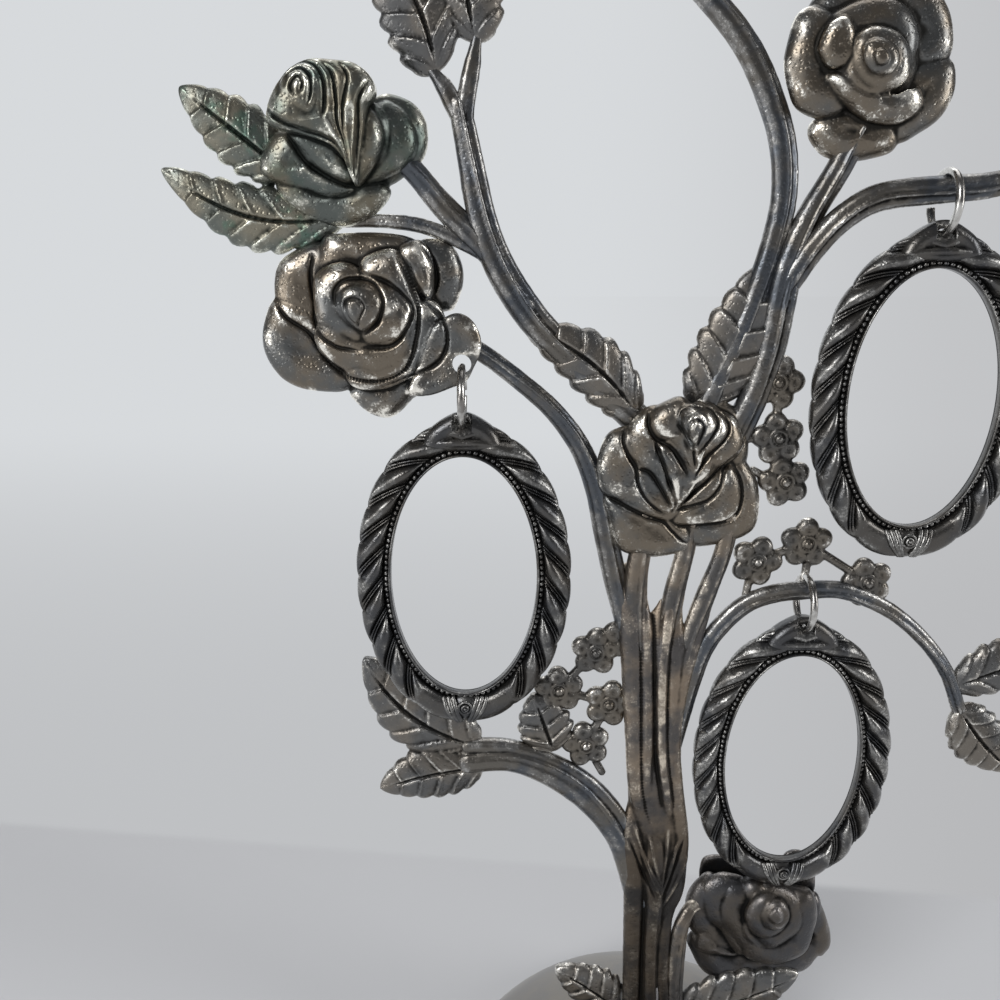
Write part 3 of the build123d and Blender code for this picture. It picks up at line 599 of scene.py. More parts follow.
middleLeftPetals = [
    (2.6, [(276, 308), (271, 287), (275, 264), (290, 251), (319, 241), (350, 262), (360, 300), (335, 335),
        (300, 330)]),
    (2.2, [(421, 239), (447, 242), (460, 259), (463, 283), (454, 309), (443, 313), (420, 320), (390, 310),
        (395, 265)]),
    (2.4, [(348, 392), (354, 404), (371, 417), (392, 419), (413, 400), (424, 392), (400, 365), (365, 362)]),
    (2.9, [(273, 298), (261, 322), (260, 348), (271, 371), (288, 386), (314, 393), (348, 391), (366, 362),
        (350, 322), (305, 300)]),
    (3.3, [(319, 240), (336, 233), (380, 232), (412, 238), (429, 256), (433, 279), (427, 299), (392, 318),
        (340, 310), (312, 282)]),
    (5.3, [(428, 299), (446, 321), (447, 348), (431, 367), (403, 383), (383, 391), (357, 391), (343, 377),
        (345, 335), (390, 315)]),
    (4.6, [(398, 247), (420, 240), (432, 262), (433, 290), (427, 300), (412, 284), (403, 266)]),
    (5.7, [(313, 329), (316, 352), (341, 371), (366, 379), (382, 380), (403, 369), (415, 348), (414, 325),
        (392, 298), (335, 300)]),
    (6.0, [(357, 272), (362, 257), (385, 248), (398, 253), (412, 283), (421, 308), (414, 333), (385, 330),
        (355, 312)]),
    (6.2, [(313, 318), (310, 284), (318, 269), (336, 262), (352, 265), (363, 278), (372, 308), (364, 345),
        (342, 342), (321, 330)]),
    (6.7, [(352, 281), (366, 278), (384, 283), (402, 297), (413, 317), (409, 335), (391, 345), (366, 346),
        (350, 328), (336, 310), (340, 292)]),
    (7.2, [(353, 281), (368, 280), (383, 285), (398, 300), (400, 314), (386, 323), (362, 333), (343, 324),
        (332, 308), (336, 291)]),
    (7.7, [(344, 289), (358, 285), (374, 291), (382, 306), (378, 319), (364, 332), (353, 328), (343, 318),
        (338, 304)]),
    (8.2, [(346, 302), (355, 296), (365, 301), (367, 313), (362, 323), (355, 324), (347, 315)]),
]
centrePetals = [
    (2.6, [(700, 398), (725, 402), (745, 415), (752, 440), (745, 470), (700, 480), (670, 440)]),
    (2.8, [(743, 460), (758, 477), (763, 499), (761, 522), (753, 536), (731, 545), (696, 550), (678, 533),
        (690, 490), (715, 462)]),
    (3.3, [(603, 497), (608, 521), (613, 541), (625, 556), (651, 561), (675, 558), (694, 549), (690, 525),
        (660, 500), (625, 490)]),
    (4.1, [(627, 428), (609, 436), (600, 456), (598, 477), (604, 497), (631, 510), (651, 521), (670, 526),
        (692, 505), (685, 455), (655, 425)]),
    (3.9, [(727, 468), (735, 466), (744, 480), (746, 498), (742, 516), (727, 527), (692, 532), (671, 527),
        (676, 505), (700, 475)]),
    (4.9, [(652, 408), (634, 423), (629, 437), (630, 457), (638, 468), (653, 480), (666, 503), (677, 516),
        (690, 495), (690, 440), (672, 412)]),
    (5.1, [(710, 405), (724, 412), (738, 420), (746, 437), (745, 452), (731, 466), (708, 478), (691, 498),
        (677, 512), (672, 470), (690, 430)]),
    (5.9, [(686, 399), (672, 402), (658, 410), (651, 422), (655, 435), (667, 445), (678, 455), (688, 468),
        (696, 476), (704, 450), (700, 415)]),
    (5.5, [(657, 441), (668, 447), (678, 455), (688, 468), (692, 480), (685, 497), (676, 511), (670, 490),
        (663, 465)]),
    (6.3, [(700, 404), (722, 412), (731, 424), (732, 438), (721, 452), (706, 461), (697, 478), (686, 462),
        (684, 430)]),
    (7.0, [(678, 420), (683, 409), (692, 405), (706, 408), (716, 418), (718, 430), (709, 441), (701, 449),
        (695, 456), (687, 444)]),
    (7.7, [(683, 420), (692, 409), (703, 412), (710, 423), (703, 435), (695, 449), (687, 436)]),
    (8.2, [(688, 422), (693, 416), (699, 421), (697, 431), (693, 440), (689, 431)]),
]
upperLeftPetals = [
    (2.4, [(378, 92), (404, 96), (420, 109), (427, 128), (424, 155), (405, 175), (380, 186), (352, 165),
        (352, 115)]),
    (2.9, [(273, 178), (277, 195), (291, 210), (316, 223), (346, 227), (374, 214), (390, 190), (368, 178),
        (330, 175), (295, 168)]),
    (3.9, [(380, 99), (394, 102), (407, 113), (416, 132), (415, 151), (404, 166), (386, 177), (357, 187),
        (345, 160), (352, 115)]),
    (4.1, [(278, 128), (263, 142), (256, 160), (259, 174), (278, 184), (304, 191), (330, 198), (353, 192),
        (356, 178), (340, 150), (305, 132)]),
    (4.9, [(361, 99), (376, 102), (388, 114), (392, 134), (387, 157), (372, 173), (356, 183), (345, 155),
        (348, 120)]),
    (5.2, [(285, 130), (316, 128), (342, 138), (351, 157), (356, 180), (338, 181), (316, 169), (299, 152)]),
    (6.6, [(363, 104), (378, 118), (382, 138), (375, 160), (357, 185), (350, 178), (344, 150), (345, 120)]),
    (8.6, [(306, 55), (330, 56), (351, 59), (367, 71), (374, 88), (366, 105), (362, 130), (358, 160),
        (354, 186), (346, 165), (330, 145), (304, 134), (278, 129), (264, 121), (263, 105), (270, 86),
        (285, 65)]),
    (9.0, [(287, 88), (292, 77), (303, 71), (314, 78), (315, 95), (309, 110), (297, 108), (288, 99)]),
]
lowerRightPetals = [
    (2.2, [(817, 899), (826, 914), (833, 934), (834, 949), (830, 957), (819, 962), (790, 945), (785, 915)]),
    (2.7, [(691, 942), (694, 961), (706, 979), (727, 986), (754, 988), (775, 983), (790, 978), (807, 976),
        (818, 966), (823, 950), (790, 925), (730, 925)]),
    (3.1, [(701, 886), (690, 900), (687, 916), (690, 933), (698, 942), (712, 956), (732, 958), (752, 940),
        (745, 900), (715, 880)]),
    (3.3, [(700, 932), (716, 938), (731, 951), (741, 959), (722, 960), (707, 959), (695, 951)]),
    (3.9, [(712, 884), (704, 893), (702, 908), (706, 924), (720, 937), (733, 955), (745, 960), (768, 935),
        (755, 892), (730, 880)]),
    (4.7, [(733, 888), (722, 900), (718, 917), (724, 933), (743, 955), (755, 966), (775, 940), (765, 895)]),
    (5.2, [(748, 888), (771, 889), (802, 896), (816, 900), (821, 918), (818, 935), (807, 960), (775, 971),
        (754, 967), (744, 957), (741, 915)]),
    (5.9, [(768, 890), (796, 898), (807, 912), (807, 931), (794, 944), (772, 955), (757, 946), (747, 925),
        (752, 903)]),
    (6.8, [(747, 920), (754, 905), (767, 898), (784, 902), (793, 918), (786, 934), (772, 942), (759, 942),
        (750, 933)]),
    (7.5, [(762, 916), (770, 906), (783, 904), (791, 914), (790, 925), (781, 933), (769, 932), (763, 925)]),
    (8.1, [(770, 916), (777, 910), (784, 915), (783, 923), (776, 926), (770, 922)]),
]
upperRightPetals = [
    (2.4, [(808, 14), (830, -18), (870, -34), (905, -30), (900, 20), (850, 50), (815, 40)]),
    (2.6, [(905, -30), (940, -18), (958, 15), (956, 55), (925, 75), (885, 40), (880, 0)]),
    (2.5, [(815, 121), (813, 136), (823, 151), (833, 157), (848, 161), (875, 158), (900, 148), (905, 120),
        (870, 100), (835, 108)]),
    (3.0, [(900, 140), (925, 132), (950, 112), (962, 82), (955, 55), (915, 60), (885, 95)]),
    (3.7, [(801, 11), (792, 38), (788, 60), (791, 82), (798, 103), (810, 113), (827, 117), (850, 108),
        (862, 70), (850, 20), (820, 2)]),
    (4.4, [(830, 20), (850, 2), (885, -8), (915, 5), (925, 40), (905, 75), (860, 80), (835, 55)]),
    (5.0, [(829, 74), (844, 68), (859, 72), (878, 88), (905, 95), (925, 85), (928, 105), (905, 122),
        (875, 120), (853, 106), (838, 92)]),
    (5.4, [(822, 43), (832, 22), (848, 13), (858, 28), (858, 55), (845, 66), (832, 66), (825, 57)]),
    (6.2, [(862, 30), (880, 22), (905, 30), (916, 52), (912, 78), (892, 90), (868, 84), (855, 62),
        (855, 42)]),
    (7.2, [(868, 42), (882, 36), (898, 44), (902, 60), (892, 73), (876, 72), (866, 58)]),
    (8.1, [(876, 52), (884, 48), (891, 55), (888, 63), (879, 63)]),
]
roseGrooves = {  # width and depth in mm, then picture points
    "upper_left_rose": [
        (0.34, 0.75, [(288, 88), (291, 76), (303, 71), (313, 79), (315, 94), (312, 109)]),
        (0.30, 0.65, [(298, 99), (295, 89), (301, 80), (307, 86), (305, 96)]),
        (0.36, 0.80, [(281, 96), (284, 78), (298, 65), (315, 67), (325, 79), (328, 96), (327, 118)]),
        (0.34, 0.75, [(323, 64), (335, 78), (339, 103), (340, 122), (346, 142), (351, 161), (355, 183)]),
        (0.32, 0.65, [(338, 63), (350, 80), (346, 106), (346, 130), (349, 146), (354, 170)]),
        (0.40, 0.90, [(268, 108), (281, 121), (303, 131), (325, 138), (340, 148), (352, 172)]),
        (0.38, 0.80, [(370, 84), (361, 103), (360, 132), (358, 157), (356, 183)]),
        (0.40, 0.70, [(286, 136), (301, 158), (320, 173), (340, 183), (356, 187)]),
    ],
    "centre_rose": [
        (0.30, 0.60, [(686, 431), (686, 422), (690, 418), (696, 418), (701, 423), (702, 430), (698, 440),
            (694, 449)]),
        (0.34, 0.75, [(679, 424), (681, 412), (688, 408), (699, 407), (712, 411), (718, 421), (716, 430),
            (707, 443), (696, 455)]),
        (0.34, 0.75, [(678, 424), (685, 434), (692, 445), (694, 456), (696, 470)]),
        (0.36, 0.80, [(713, 409), (725, 417), (731, 428), (726, 440), (712, 454), (702, 466), (696, 478)]),
        (0.38, 0.85, [(651, 412), (650, 427), (657, 440), (671, 448), (680, 460), (688, 475)]),
        (0.38, 0.85, [(656, 441), (661, 457), (667, 475), (674, 493), (677, 508), (673, 516)]),
        (0.38, 0.80, [(628, 428), (625, 443), (630, 458), (638, 472), (640, 487), (647, 501), (658, 512),
            (671, 518)]),
        (0.32, 0.60, [(638, 472), (651, 475), (662, 490), (671, 506), (676, 512)]),
        (0.38, 0.80, [(744, 453), (729, 466), (712, 482), (698, 494), (684, 506), (678, 513)]),
        (0.36, 0.70, [(728, 471), (723, 490), (712, 503), (695, 509), (678, 514)]),
        (0.38, 0.70, [(736, 466), (745, 483), (747, 502), (742, 518), (729, 527), (707, 530), (684, 531),
            (673, 526)]),
        (0.40, 0.80, [(602, 497), (617, 505), (634, 514), (651, 522), (666, 527), (675, 536), (685, 546),
            (695, 550)]),
    ],
    "middle_left_rose": [
        (0.30, 0.65, [(347, 310), (348, 300), (359, 298), (366, 306), (362, 317), (359, 329)]),
        (0.36, 0.80, [(335, 303), (335, 290), (345, 280), (362, 279), (376, 285), (384, 302), (379, 321),
            (367, 334)]),
        (0.38, 0.85, [(362, 273), (386, 282), (403, 295), (413, 310), (406, 331), (391, 346), (362, 348)]),
        (0.38, 0.80, [(313, 283), (311, 307), (314, 329), (335, 346), (360, 351)]),
        (0.40, 0.90, [(313, 336), (320, 358), (345, 377), (379, 382), (405, 370), (415, 343), (418, 312),
            (410, 283), (396, 254)]),
        (0.40, 0.80, [(422, 300), (442, 319), (447, 343), (437, 363), (413, 375), (376, 390)]),
        (0.38, 0.70, [(308, 254), (306, 278), (311, 307)]),
        (0.40, 0.80, [(270, 302), (282, 319), (304, 334), (318, 353), (342, 380)]),
        (0.38, 0.70, [(420, 244), (432, 263), (435, 283), (427, 300)]),
    ],
}
roses = {
    "middle_left_rose": {"place": (-46.8, 0.6, 152.9), "petals": middleLeftPetals, "finish": "rose"},
    "centre_rose": {"place": (-0.6, 0.6, 130.6), "petals": centrePetals, "finish": "rose"},
    "upper_left_rose": {"place": (-49.0, 0.6, 178.6), "petals": upperLeftPetals, "finish": "greenRose"},
    "lower_right_rose": {"place": (17.6, 3.0, 45.0), "petals": lowerRightPetals, "finish": "darkRose"},
    "upper_right_rose": {"place": (22.6, 0.6, 188.2), "petals": upperRightPetals, "finish": "rose"},
}
rosePetal = {"rollShare": 0.27, "rollMost": 3.4, "riseShare": 0.72, "riseMost": 2.1, "fall": 0.10,
             "dishShare": 0.05, "dishMost": 0.5, "thinWall": 1.4, "thickFrom": 4.5, "wallShare": 0.45}
roseCore = ((0.42, 0.0), (0.50, 1.2), (0.52, 2.4), (0.30, 5.2))  # share of the rose's radius, depth in mm
roseRelief = {"fine": 10, "broad": 90}
hookLobe = {"centre": (-33.384, -4.6, 149.936), "thickness": 1.2, "holeDrop": 2.6, "holeRadius": 1.4,
            "outline": [(447, 316), (460, 313), (472, 320), (480, 334), (481, 350), (474, 368), (466, 382),
                        (452, 388), (428, 396), (409, 392), (418, 365), (430, 330)]}
backPetals = {"depth": 4.2, "crest": -3.9, "outlines": [
    [(700, 882), (700, 866), (705, 857), (720, 855), (737, 856), (752, 868), (757, 885), (740, 905),
     (712, 905)],
    [(781, 862), (786, 853), (797, 850), (808, 855), (815, 872), (812, 895), (790, 900), (777, 880)]]}


def roseSolids(settings):
    solids = Solids()
    form, back = rosePetal, settings["place"][1]
    outlines = []
    for crest, points in settings["petals"]:
        outline = flatOutline(points, back - crest)
        outlines.append(outline)
        size = max(math.dist(a, b) for a in outline for b in outline)
        roll = min(form["rollMost"], size * form["rollShare"])
        wall = form["thinWall"] if crest < form["thickFrom"] else crest * form["wallShare"]
        rise = min(form["riseMost"], roll * form["riseShare"])
        dish = min(form["dishMost"], size * form["dishShare"])
        addPetal(solids, outline, crest - back, wall=wall, roll=roll, rise=rise, fall=form["fall"], dish=dish)
    every = np.array([p for outline in outlines for p in outline])
    low, high = every.min(axis=0), every.max(axis=0)
    middle = np.array(outlines[-1]).mean(axis=0) * 0.4 + (low + high) * 0.3
    rings = []
    for share, depth in roseCore:
        ring = circle(middle, (high - low).mean() / 2 * share, 28)
        rings += [(x, back - depth, z) for x, z in ring]
    solids.add(rings, ringFaces(len(roseCore), 28))
    return solids


def holeCutter(centre, radius):  # round tool along Y for a hanging hole
    deselectAll()
    bpy.ops.mesh.primitive_cylinder_add(vertices=32, radius=radius * mm, depth=8 * mm,
                                        location=Vector(centre) * mm, rotation=(math.pi / 2, 0, 0))
    return settled()


def addHookLobe(solids):  # the rose's right lobe, as thin as a petal round its hole
    x, y, z = hookLobe["centre"]
    outline = flatOutline(hookLobe["outline"], y)
    thickness = hookLobe["thickness"]
    addPetal(solids, outline, thickness / 2 - y, wall=thickness, roll=1.5, rise=0.6, fall=0.14, dish=0.35)
    addStrand(solids, [(x - 7.5, y + 2.4, z + 0.8), (x - 5.4, y + 1.5, z + 0.8), (x - 3.8, y + 0.6, z + 0.8)],
              [2.4, 2.0, 1.0], flat=0.45)


def addBackPetals(solids):  # two thin petals that stand up behind the lower right rose
    for points in backPetals["outlines"]:
        addPetal(solids, flatOutline(points, backPetals["depth"]), backPetals["crest"], wall=1.0, roll=0.5,
                 rise=0.3, fall=0.04, dish=0.2)
    addStrand(solids, [(12.5, 3.4, 49.5), (16, 2.6, 46.5), (20, 2.8, 49.0)], [2.6, 3.0, 2.6], flat=0.5)


def roseFromFar(source, place, radius, turn):  # a seen flower's form, turned and sized for an unseen place
    points = np.vstack(roseMeshes[source].places)
    span = (points.max(axis=0) - points.min(axis=0))[[0, 2]].mean() / 2
    local = points - np.array(roses[source]["place"])
    middle = (local.max(axis=0) + local.min(axis=0)) / 2
    local[:, [0, 2]] -= middle[[0, 2]]
    scale = radius / span
    c, s = math.cos(math.radians(turn)), math.sin(math.radians(turn))
    turned = np.column_stack([(local[:, 0] * c - local[:, 2] * s) * scale, local[:, 1] * scale,
                              (local[:, 0] * s + local[:, 2] * c) * scale])
    solids = Solids()
    solids.add(turned + np.array(place), roseMeshes[source].faces)
    return solids


roseMeshes = {}
for name, settings in roses.items():
    solids = roseSolids(settings)
    cutters = []
    if name == "middle_left_rose":
        addHookLobe(solids)
        hole = Vector(hookLobe["centre"]) - Vector((0, 0, hookLobe["holeDrop"]))
        cutters = [holeCutter(hole, hookLobe["holeRadius"])]
    if name == "lower_right_rose":
        addBackPetals(solids)
    roseMeshes[name] = solids
    castPiece(name.replace("_", "") + "Petals", solids, "stand", "rose_pewter", [name],
              metals[settings["finish"]], voxel=0.21, smooth=3, uneven=0.07, cutters=cutters,
              grooves=roseGrooves.get(name, ()), level=settings["place"][1] - 5.5, **roseRelief)

unseenRoses = {
    "crownRosePetals": ("crown_rose", "centre_rose", (-13.65, 0.6, 214.9), 11.6, 35),
    "farRightRosePetals": ("far_right_rose", "upper_right_rose", (61.2, 0.6, 178.6), 11.2, 150),
}
for name, (node, source, place, radius, turn) in unseenRoses.items():
    castPiece(name, roseFromFar(source, place, radius, turn), "stand", "rose_pewter", [node], metals["rose"],
              voxel=0.26, smooth=3, **roseRelief)
print("roses made")


# limbs
# each limb: its line as shares of the tree and its width shares; a bundle's strands are
# (side share, forward share, radius share); "before" is how far in mm it runs on into its carrier

plainBundle = [(-0.36, 0.05, 0.70), (0.22, 0.95, 0.15), (0.66, 0.10, 0.42), (0.1, -0.3, 0.6)]
doubleBundle = [(-0.30, 0.05, 0.72), (0.30, 0.80, 0.17), (0.60, 0.00, 0.46)]
slimBundle = [(-0.28, 0.05, 0.70), (0.52, 0.10, 0.48)]
limbs = {
    "middle_left_branch": {"line": [(-0.045, 0.0, 0.354), (-0.064, 0.0, 0.382), (-0.088, 0.0, 0.409),
        (-0.118, 0.0, 0.441), (-0.141, 0.0, 0.472), (-0.162, 0.0, 0.502), (-0.197, 0.0, 0.528),
        (-0.251, 0.0, 0.550), (-0.323, 0.0, 0.569), (-0.400, 0.0, 0.586), (-0.494, -0.03, 0.601)],
        "widths": (1.15, 0.7), "strands": doubleBundle, "before": 7.0},
    "upper_left_branch": {"line": [(-0.064, 0.05, 0.539), (-0.135, 0.06, 0.558), (-0.210, 0.04, 0.579),
        (-0.281, 0.01, 0.600), (-0.331, 0.0, 0.621), (-0.367, 0.0, 0.642), (-0.392, 0.0, 0.665),
        (-0.413, 0.0, 0.695), (-0.431, 0.0, 0.723)], "widths": (1.25, 1.05), "strands": plainBundle,
        "taper": 0.75},
    "leaf_twig_left": {"line": [(-0.405, 0.0, 0.688), (-0.420, 0.0, 0.708), (-0.449, 0.0, 0.726),
        (-0.482, 0.0, 0.740)], "widths": (0.75, 0.65), "strands": slimBundle, "taper": 0.6},
    "leaf_twig_right": {"line": [(-0.405, 0.0, 0.688), (-0.419, 0.0, 0.711), (-0.412, 0.0, 0.732),
        (-0.396, 0.0, 0.756)], "widths": (0.75, 0.65), "strands": slimBundle, "taper": 0.6},
    "rose_twig": {"line": [(-0.315, 0.0, 0.617), (-0.359, 0.0, 0.635), (-0.410, 0.0, 0.652),
        (-0.462, 0.0, 0.668), (-0.518, -0.02, 0.687), (-0.577, -0.06, 0.701)], "widths": (0.95, 0.9),
        "strands": doubleBundle, "before": 2.0},
    "thin_twig": {"line": [(-0.372, 0.0, 0.639), (-0.431, 0.0, 0.648), (-0.492, 0.0, 0.656),
        (-0.558, 0.0, 0.659), (-0.664, 0.0, 0.659)], "widths": (0.65, 0.5), "strands": slimBundle,
        "before": 1.0},
    "crown_arch": {"line": [(0.038, 0.0, 0.541), (0.072, 0.0, 0.569), (0.105, 0.0, 0.594),
        (0.132, 0.0, 0.620), (0.155, 0.0, 0.646), (0.168, 0.0, 0.673), (0.159, 0.0, 0.700),
        (0.131, 0.0, 0.724), (0.087, 0.0, 0.749), (0.021, 0.0, 0.772), (-0.069, 0.0, 0.794),
        (-0.179, 0.0, 0.807), (-0.301, 0.0, 0.809), (-0.391, 0.0, 0.798)], "widths": (1.05, 0.85),
        "strands": doubleBundle},
    "right_branch": {"line": [(0.109, 0.0, 0.535), (0.144, 0.0, 0.561), (0.167, 0.0, 0.588),
        (0.178, 0.0, 0.614), (0.191, 0.0, 0.636), (0.221, 0.0, 0.662), (0.262, 0.0, 0.686),
        (0.295, -0.04, 0.709)], "widths": (1.2, 0.95), "strands": plainBundle},
    "far_right_branch": {"line": [(0.185, 0.0, 0.622), (0.226, -0.06, 0.643), (0.274, -0.16, 0.661),
        (0.338, -0.22, 0.672), (0.454, -0.24, 0.6755), (0.520, -0.24, 0.677), (0.590, -0.20, 0.682),
        (0.667, -0.12, 0.691), (0.745, -0.06, 0.702)], "widths": (1.0, 0.9), "strands": plainBundle,
        "before": 2.0},
    "lower_right_arch": {"line": [(0.033, 0.0, 0.346), (0.051, 0.0, 0.370), (0.074, 0.0, 0.394),
        (0.110, 0.0, 0.412), (0.159, 0.0, 0.426), (0.215, -0.03, 0.433), (0.277, -0.04, 0.435),
        (0.341, -0.02, 0.435), (0.403, 0.0, 0.429), (0.474, 0.0, 0.417), (0.544, 0.0, 0.398),
        (0.597, 0.0, 0.376), (0.632, 0.0, 0.350)], "widths": (0.95, 0.6), "strands": doubleBundle,
        "before": 8.0},
    "centre_stem_left": {"line": [(-0.054, -0.02, 0.374), (-0.068, -0.03, 0.402), (-0.076, -0.04, 0.429),
        (-0.072, -0.06, 0.457), (-0.059, -0.08, 0.486)], "finish": "stem", "widths": (1.0, 1.0),
        "strands": doubleBundle, "before": 6.0},
    "centre_stem_middle": {"line": [(-0.008, -0.02, 0.374), (-0.006, -0.03, 0.406), (0.005, -0.04, 0.433),
        (0.019, -0.06, 0.457), (0.031, -0.08, 0.486)], "finish": "stem", "widths": (0.9, 0.85),
        "strands": doubleBundle, "before": 6.0},
    "centre_stem_right": {"line": [(0.023, -0.02, 0.366), (0.044, -0.03, 0.404), (0.072, -0.04, 0.433),
        (0.097, -0.06, 0.459), (0.110, -0.08, 0.486)], "finish": "stem", "widths": (0.85, 0.8),
        "strands": doubleBundle, "before": 6.0},
    "lower_rose_stem": {"line": [(0.062, -0.08, 0.0995), (0.054, -0.08, 0.130), (0.054, -0.08, 0.161),
        (0.064, -0.06, 0.185), (0.096, 0.10, 0.196), (0.150, 0.28, 0.190)], "finish": "stem",
        "widths": (0.8, 0.75), "strands": doubleBundle},
    "lower_left_branch": {"line": [(-0.033, 0.0, 0.201), (-0.054, 0.0, 0.226), (-0.082, 0.0, 0.252),
        (-0.126, 0.0, 0.275), (-0.182, 0.0, 0.294), (-0.251, 0.0, 0.308), (-0.333, 0.0, 0.317),
        (-0.428, 0.0, 0.317)], "widths": (1.3, 1.6), "strands": plainBundle},
}
limbForm = {"width": 3.4, "depth": 2.9, "fullness": 1.2, "flat": 0.95, "sway": 0.06, "swell": 0.05}


def limbSolids(settings):
    solids = Solids()
    line = smoothLine([spot(*share) for share in settings["line"]], 60)
    before = settings.get("before", 0.0)
    if before:
        lead = line[0] - line[1]
        lead = lead / np.linalg.norm(lead)
        line = np.vstack([[line[0] + lead * before * k / 8 for k in range(8, 0, -1)], line])
    progress = np.linspace(0, 1, len(line))
    thin, wide = settings["widths"][1], settings["widths"][0]
    width = limbForm["width"] * (wide + (thin - wide) * progress)
    width = width * np.interp(progress, (0.80, 1.0), (1.0, settings.get("taper", 1.0)))
    along = np.gradient(line, axis=0)
    along /= np.linalg.norm(along, axis=1)[:, None]
    across = np.cross(np.array([0.0, 1.0, 0.0]), along)
    for index, (side, forward, radius) in enumerate(settings["strands"]):
        sway = limbForm["sway"] * np.sin(progress * 9 + index * 2.1)
        centre = line + across * (width / 2 * (side + sway))[:, None]
        centre[:, 1] -= limbForm["depth"] / 2 * forward
        uneven = 1 + limbForm["swell"] * np.sin(progress * 13 + index * 4.0)
        addStrand(solids, centre, width / 2 * radius * uneven * limbForm["fullness"], flat=limbForm["flat"])
    return solids


for name, settings in limbs.items():
    castPiece(name.replace("_", "") + "Strands", limbSolids(settings), "stand", "limb_pewter", [name],
              metals[settings.get("finish", "limb")], voxel=0.24, smooth=3, uneven=0.09)


# trunk: its two edges by picture row, then flutes as picture points with their depth and radius in mm,
# then lines with their width and depth in mm (raised where negative)

trunkEdges = [(604, 640, 694), (636, 621, 703), (660, 623, 693), (700, 626, 687), (740, 625, 680),
    (795, 627, 684), (840, 625, 688), (873, 624, 687), (890, 624, 684), (908, 623, 676), (943, 623, 668),
    (996, 622, 668), (1030, 618, 674), (1062, 606, 690)]
trunkStrands = [
    [(629, 566, 0.6, 1.0), (629, 600, -0.2, 1.9), (632, 660, -0.7, 1.9), (635, 740, -0.9, 1.7),
        (637, 790, -1.0, 1.5), (643, 828, -0.6, 0.5)],
    [(641, 590, 0.4, 0.9), (646, 640, -1.2, 1.2), (647, 720, -1.5, 1.2), (646, 775, -1.5, 1.0),
        (647, 818, -0.8, 0.4)],
    [(676, 570, 0.6, 0.7), (668, 622, -1.3, 1.0), (662, 680, -2.0, 0.95), (662, 750, -2.1, 0.85),
        (667, 795, -1.9, 0.7), (671, 826, -1.0, 0.3)],
    [(678, 588, 0.8, 0.7), (675, 650, -0.8, 1.3), (671, 710, -1.1, 1.3), (668, 770, -1.1, 1.2),
        (673, 815, -0.6, 0.5)],
    [(711, 588, 0.6, 1.0), (695, 632, -0.2, 1.6), (680, 690, -0.6, 1.5), (673, 745, -0.7, 1.4),
        (675, 790, -0.7, 1.5), (680, 835, -0.6, 1.5), (678, 868, -0.6, 1.4), (671, 902, -0.4, 0.7)],
    [(634, 790, 0.6, 0.7), (632, 835, -0.6, 1.9), (634, 880, -0.8, 1.9), (632, 950, -0.8, 1.7),
        (630, 1010, -0.8, 1.7), (622, 1062, -0.4, 2.2)],
    [(652, 812, 0.2, 0.9), (655, 850, -1.5, 1.6), (655, 895, -1.7, 1.5), (651, 950, -1.6, 1.3),
        (650, 1010, -1.6, 1.3), (648, 1062, -1.8, 1.8)],
    [(671, 890, 0.4, 0.9), (664, 930, -0.9, 1.3), (662, 980, -0.9, 1.3), (668, 1030, -0.8, 1.5),
        (678, 1062, -0.4, 2.0)],
]
trunkLines = [
    (0.36, 0.45, [(640, 606), (641, 660), (641, 740), (642, 790), (649, 822)]),
    (0.40, 0.55, [(655, 612), (654, 660), (655, 710), (656, 760), (661, 805)]),
    (0.36, 0.45, [(676, 618), (669, 660), (667, 710), (668, 760), (674, 806)]),
    (0.32, -0.5, [(634, 824), (644, 853), (658, 882)]),
    (0.32, -0.45, [(640, 846), (648, 868), (659, 892)]),
    (0.30, -0.45, [(649, 834), (653, 856), (660, 880)]),
    (0.32, -0.5, [(668, 828), (666, 854), (661, 884)]),
    (0.32, -0.45, [(678, 842), (671, 866), (662, 890)]),
    (0.32, -0.45, [(688, 858), (677, 882), (663, 904)]),
    (0.34, 0.6, [(629, 838), (640, 866), (655, 896)]),
    (0.34, 0.6, [(684, 838), (674, 868), (663, 896)]),
    (0.36, 0.45, [(644, 900), (642, 950), (640, 1000), (636, 1050)]),
    (0.36, 0.45, [(659, 905), (657, 950), (656, 1000), (660, 1050)]),
]
trunkCore = {"rings": 90, "topShare": 0.35, "opening": 6, "fullShare": 0.97, "flat": 0.38}


def trunkSolids():
    solids = Solids()
    core = []
    for v, left, right in trunkEdges:
        a, b = fromPhoto(left, v), fromPhoto(right, v)
        core.append(tuple((a + b) / 2) + ((b - a).length / 2,))
    core = smoothLine(core, trunkCore["rings"])
    share = np.linspace(trunkCore["topShare"], trunkCore["opening"], len(core))
    share = np.clip(share, 0, trunkCore["fullShare"])
    addStrand(solids, core[:, :3], core[:, 3] * share, flat=trunkCore["flat"], sides=36)
    for strand in trunkStrands:
        line = smoothLine([tuple(fromPhoto(u, v, depth)) + (radius,) for u, v, depth, radius in strand], 60)
        addStrand(solids, line[:, :3], line[:, 3], flat=0.8, sides=18)
    return solids


castPiece("trunkStrands", trunkSolids(), "stand", "limb_pewter", ["trunk"], metals["trunk"], voxel=0.22,
          smooth=3, uneven=0.10, grooves=trunkLines, level=-1.5)
print("limbs made")


# leaves
# each leaf: base and tip as shares of the tree, width in mm, teeth on a side and sideways bend

